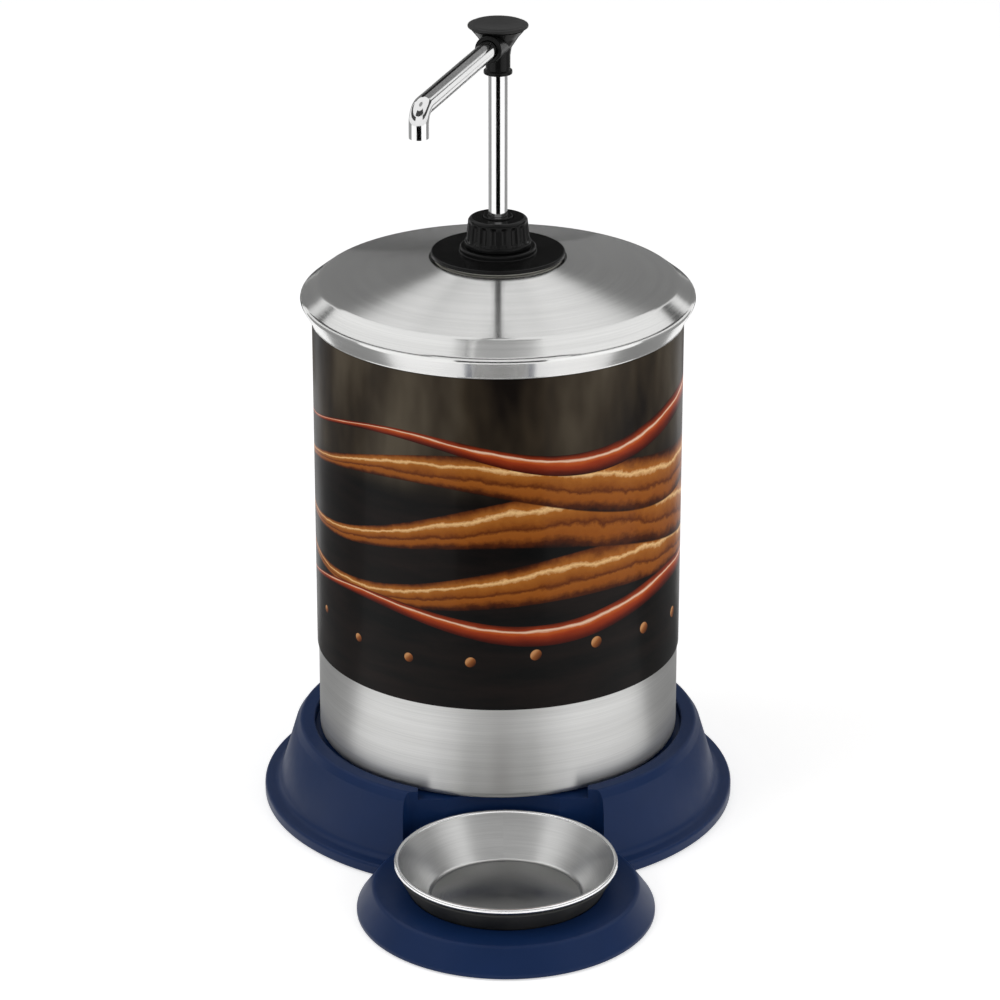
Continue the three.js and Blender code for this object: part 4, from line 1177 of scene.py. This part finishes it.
@dataclass
class PumpHead:
    """What moves up and down: stem, discharge head, knob and spout."""

    tube_radius: float = 4.6
    stem_wall: float = 1.7
    stem_foot: float = 285.9
    stem_top: float = 383.8
    foot: float = 375.7
    top: float = 397.9
    body: Corners = ((0, 375.7, 0), (6.9, 375.7, 0.4), (6.9, 377.5, 0.5), (5.9, 377.7, 0.3),
                     (5.9, 384.7, 0.6), (6.5, 388.7, 3.0), (9.8, 393.8, 6.0), (13.2, 397.9, 0.2),
                     (0, 397.9, 0))
    boss: Corners = ((0, 0, 0), (6.6, 0, 0), (6.6, 16.0, 0.8), (0, 16.0, 0))
    mouth_from: float = 6.0
    mouth_to: float = 20.0
    socket_depth: float = 8.4
    peg_hole: float = 3.7
    peg_hole_depth: float = 3.8
    peg_radius: float = 3.4
    peg_depth: float = 3.5
    knob_inner: float = 13.2
    knob_radius: float = 14.5
    knob_rim: float = 1.7
    knob_dome: float = 2.0
    knob_step: float = 1.1
    knob_edge: float = 0.5
    dome_from: float = 0.12
    dome_step: float = 0.15
    spout_axis: float = 391.2
    spout_degrees: float = -19.0
    spout_wall: float = 0.9
    spout_reach: float = 119.0
    spout_seat: float = 6.3
    bend_radius: float = 7.0
    tip_length: float = 6.2

    def along_spout(self, name: str, profile: np.ndarray, sides: int) -> Piece:
        """A piece turned about the spout's level axis.

        Args:
            name: the object's name.
            profile: distance from that axis, and along it outwards, of each point.
            sides: how many points go round.

        Returns:
            The piece.
        """
        turn = math.radians(self.spout_degrees)
        along = np.array([math.sin(turn), -math.cos(turn), 0.0])
        side = np.array([math.cos(turn), math.sin(turn), 0.0])
        up = np.array([0.0, 0.0, 1.0])
        grid = spun(profile, sides)
        laid = grid[..., :1] * side + grid[..., 1:2] * up + grid[..., 2:] * along
        return mesh_of(name, laid + up * self.spout_axis, False)

    def head(self) -> Piece:
        """The head's body with the spout's boss, hollow for the stem and the spout.

        Returns:
            The head.
        """
        bore = self.tube_radius + CLEARANCE
        boss = self.along_spout("boss", soften(self.boss), 96)
        mouth = self.along_spout("mouth", rod(bore, self.mouth_from, self.mouth_to), 64)
        socket = turned("stem_socket", rod(bore, self.foot - PAST, self.foot + self.socket_depth), sides=64)
        peg = rod(self.peg_hole, self.top - self.peg_hole_depth, self.top + PAST)
        return merged("spout_head", turned("head_body", soften(self.body), sides=128), [boss],
                      [mouth, socket, turned("peg_socket", peg, sides=64)])

    def knob(self) -> Piece:
        """The knob: a peg, a flat underside, a rounded rim and a low dome.

        Returns:
            The knob.
        """
        low = self.top + CLEARANCE
        rim, dome = low + self.knob_rim, self.knob_radius - self.knob_step
        turn = np.linspace(self.dome_from, math.pi / 2, 14)[:, None]
        crown = np.hstack([dome * np.cos(turn), rim + self.knob_dome * np.sin(turn)])
        crown[-1, 0] = 0
        side = soften([(0, self.top - self.peg_depth, 0), (self.peg_radius, self.top - self.peg_depth, 0.3),
                       (self.peg_radius, low, 0), (self.knob_inner, low, 0.2),
                       (self.knob_radius, low + self.knob_edge, 0.5), (self.knob_radius, rim, 0.7),
                       (dome, rim + self.dome_step, 0)], 5)
        return turned("palm_knob", np.vstack([side, crown]), sides=128)

    def spout(self) -> Piece:
        """The spout: a ring of outer and inner wall carried along a level run, a quarter bend and a tip.

        Returns:
            The spout.
        """
        straight = self.spout_reach - self.bend_radius
        run = np.linspace(self.spout_seat, straight, 24)[:-1]
        bend = np.linspace(0, math.pi / 2, 24)
        tip = np.linspace(0, self.tip_length, 6)[1:]
        out = np.concatenate([run, straight + self.bend_radius * np.sin(bend), 0 * tip + self.spout_reach])
        drop = np.concatenate([0 * run, self.bend_radius * (1 - np.cos(bend)), self.bend_radius + tip])
        turn = math.radians(self.spout_degrees)
        path = np.stack([out * math.sin(turn), -out * math.cos(turn), self.spout_axis - drop], axis=1)
        ring = circle((0, 0), 1.0, steps=48)[:-1]
        outside = swept(path, self.tube_radius * ring)
        inside = swept(path, (self.tube_radius - self.spout_wall) * ring)
        return mesh_of("spout_pipe", np.concatenate([outside, inside[::-1]]), True)

    def build(self) -> None:
        """Makes the stem, the head, its knob and the spout."""
        stem = washer(self.tube_radius - self.stem_wall, self.tube_radius, self.stem_foot, self.stem_top, 0.2)
        dress(turned("stem_rod", stem, sides=96), POLISHED, "plunger", "stem_tube")
        dress(self.head(), BLACK, "outlet", "discharge_head")
        dress(self.knob(), KNOB, "outlet", "push_knob")
        dress(self.spout(), POLISHED, "outlet", "spout_tube")


@dataclass
class HiddenParts:
    """The pieces inside the pump, which keep their solids and get their finishes."""

    finishes: tuple[tuple[Finish, tuple[str, ...]], ...] = (
        (POLISHED, ("return_spring", "discharge_ball", "inlet_ball")),
        (NATURAL, ("piston", "ball_cage")),
        (RUBBER, ("piston_seal", "stem_wiper", "spout_seal")),
    )

    def build(self) -> None:
        """Gives each solid its material."""
        for finish, names in self.finishes:
            for name in names:
                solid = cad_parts[name]
                solid.data.materials.clear()
                solid.data.materials.append(finish.material)
                log.info("%s keeps its solid", name)


@dataclass(frozen=True)
class Card:
    """A grey card that only the reflections see, curved round the jar's axis.

    It spans half degrees to each side of its direction, from one curved edge to another, and each edge
    is given as its distance from the axis and its height. Equal distances make it an upright arch, and
    equal heights a level fan.
    """

    name: str
    degrees: float
    half: float
    first: Spot
    second: Spot
    grey: float

    def build(self) -> None:
        """Makes the card."""
        turn = np.radians(np.linspace(self.degrees - self.half, self.degrees + self.half, 24))
        edges = [np.stack([reach * np.sin(turn), -reach * np.cos(turn), 0 * turn + height], axis=1)
                 for reach, height in (self.first, self.second)]
        card = mesh_of(self.name, np.stack(edges, axis=1), False)
        material = bpy.data.materials.new(self.name)
        Graph(material).set(Base_Color=(self.grey,) * 3, Roughness=1.0, Specular_IOR_Level=0.0)
        card.data.materials.append(material)
        card.visible_camera = card.visible_diffuse = card.visible_shadow = card.visible_transmission = False


@dataclass
class Studio:
    """The camera, the lights, the pale floor and the grey cards that the metal reflects.

    The camera, the lamps and the floor are in metres, as Blender takes them; the cards are in millimetres.
    """

    focal_mm: float = 144.6
    sensor_mm: float = 36.0
    distance: float = 1.994
    pitch: float = 22.0
    azimuth: float = -1.6
    target: Triple = (0.0, 0.0, 0.1566)
    shift: float = 0.002
    lamp_aim: Triple = (0.0, -0.03, 0.18)
    lamps: tuple[tuple[str, Triple, Spot, float], ...] = (
        ("key", (-1.5, -0.5, 1.4), (1.5, 1.5), 12.0),
        ("strip", (0.16, 1.9, 2.2), (0.6, 1.5), 1.2),
        ("fill", (1.6, -0.9, 0.9), (1.4, 1.4), 11.0),
    )
    world_light: float = 0.48
    world_seen: float = 1.0
    floor_half: float = 6.0
    floor_grey: float = 0.86
    floor_glow: float = 0.52
    cards: tuple[Card, ...] = (
        Card("back_card", 180, 6, (3000, 900), (3000, 2650), 0.03),
        Card("back_low", 180, 6, (3000, 0), (3000, 900), 0.25),
        Card("back_right", 160, 14, (3000, 0), (3000, 2300), 0.42),
        Card("back_left", -160, 14, (3000, 0), (3000, 2300), 0.42),
        Card("front_card", 0, 50, (3000, 2200), (3000, 5000), 0.12),
        Card("right_wing", 90, 50, (3000, 900), (3000, 1900), 0.12),
        Card("left_wing", -90, 50, (3000, 900), (3000, 1900), 0.12),
        Card("front_fan", 0, 25, (400, 2), (2400, 2), 0.004),
        Card("right_fan", 112, 27, (140, 2), (2400, 2), 0.46),
        Card("left_fan", -112, 27, (140, 2), (2400, 2), 0.46),
        Card("back_fan", 180, 30, (620, 2), (2400, 2), 0.14),
        Card("ceiling_card", 0, 180, (0, 3200), (700, 3200), 0.6),
    )

    def camera(self) -> None:
        """Places the camera at the photograph's angle."""
        data = bpy.data.cameras.new("camera")
        data.lens = self.focal_mm
        data.sensor_width = self.sensor_mm
        data.shift_x = self.shift
        data.clip_end = 50
        camera = placed("camera", data)
        pitch, turn = math.radians(self.pitch), math.radians(self.azimuth)
        away = Vector((math.sin(turn) * math.cos(pitch), -math.cos(turn) * math.cos(pitch), math.sin(pitch)))
        camera.location = Vector(self.target) + away * self.distance
        camera.rotation_euler = (-away).to_track_quat("-Z", "Y").to_euler()
        bpy.context.scene.camera = camera

    def world(self) -> None:
        """A white surround that the camera and the metal see, and a plain soft level of light from it."""
        world = bpy.data.worlds.new("surround")
        graph = Graph(world)
        seen = graph.rays("Is Camera Ray", "Is Glossy Ray", "Is Transmission Ray")
        graph.set(Color=(1, 1, 1), Strength=graph.span(seen, 0, 1, self.world_light, self.world_seen))
        bpy.context.scene.world = world

    def floor(self) -> None:
        """A pale floor, white to the camera and the metal except where the object shades it."""
        material = bpy.data.materials.new("pale_floor")
        graph = Graph(material)
        glow = graph.rays("Is Camera Ray", "Is Glossy Ray") * self.floor_glow
        graph.set(Base_Color=(self.floor_grey,) * 3, Roughness=0.9, Emission_Color=(1, 1, 1),
                  Emission_Strength=glow)
        mesh = bpy.data.meshes.new("floor")
        outline = box(self.floor_half, -self.floor_half, self.floor_half)
        mesh.from_pydata([(x, y, 0) for x, y in outline.tolist()], [], [(0, 1, 2, 3)])
        mesh.materials.append(material)
        placed("floor", mesh)

    def lamp(self, name: str, place: Triple, size: Spot, watts: float) -> None:
        """A soft rectangular lamp that faces the object and doesn't show in its metal.

        Args:
            name: its name.
            place: where it stands.
            size: its two sides.
            watts: its power.
        """
        data = bpy.data.lights.new(name, "AREA")
        data.shape = "RECTANGLE"
        data.size, data.size_y = size
        data.energy = watts
        lamp = placed(name, data)
        lamp.location = place
        aim = Vector(self.lamp_aim) - Vector(place)
        lamp.rotation_euler = aim.to_track_quat("-Z", "Y").to_euler()
        lamp.visible_glossy = False

    def build(self) -> None:
        """Sets the whole studio up."""
        self.camera()
        self.world()
        self.floor()
        for card in self.cards:
            card.build()
        for lamp in self.lamps:
            self.lamp(*lamp)
        bpy.context.scene.view_settings.view_transform = "Standard"


def main() -> None:
    """Builds the studio and every sub-assembly."""
    logging.basicConfig(level=logging.INFO, format="%(name)s: %(message)s")
    for part in (Studio(), Base(), DripBowl(), Jar(), Lid(), PumpBody(), PumpHead(), HiddenParts()):
        part.build()
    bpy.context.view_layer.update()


if __name__ == "__main__":
    main()
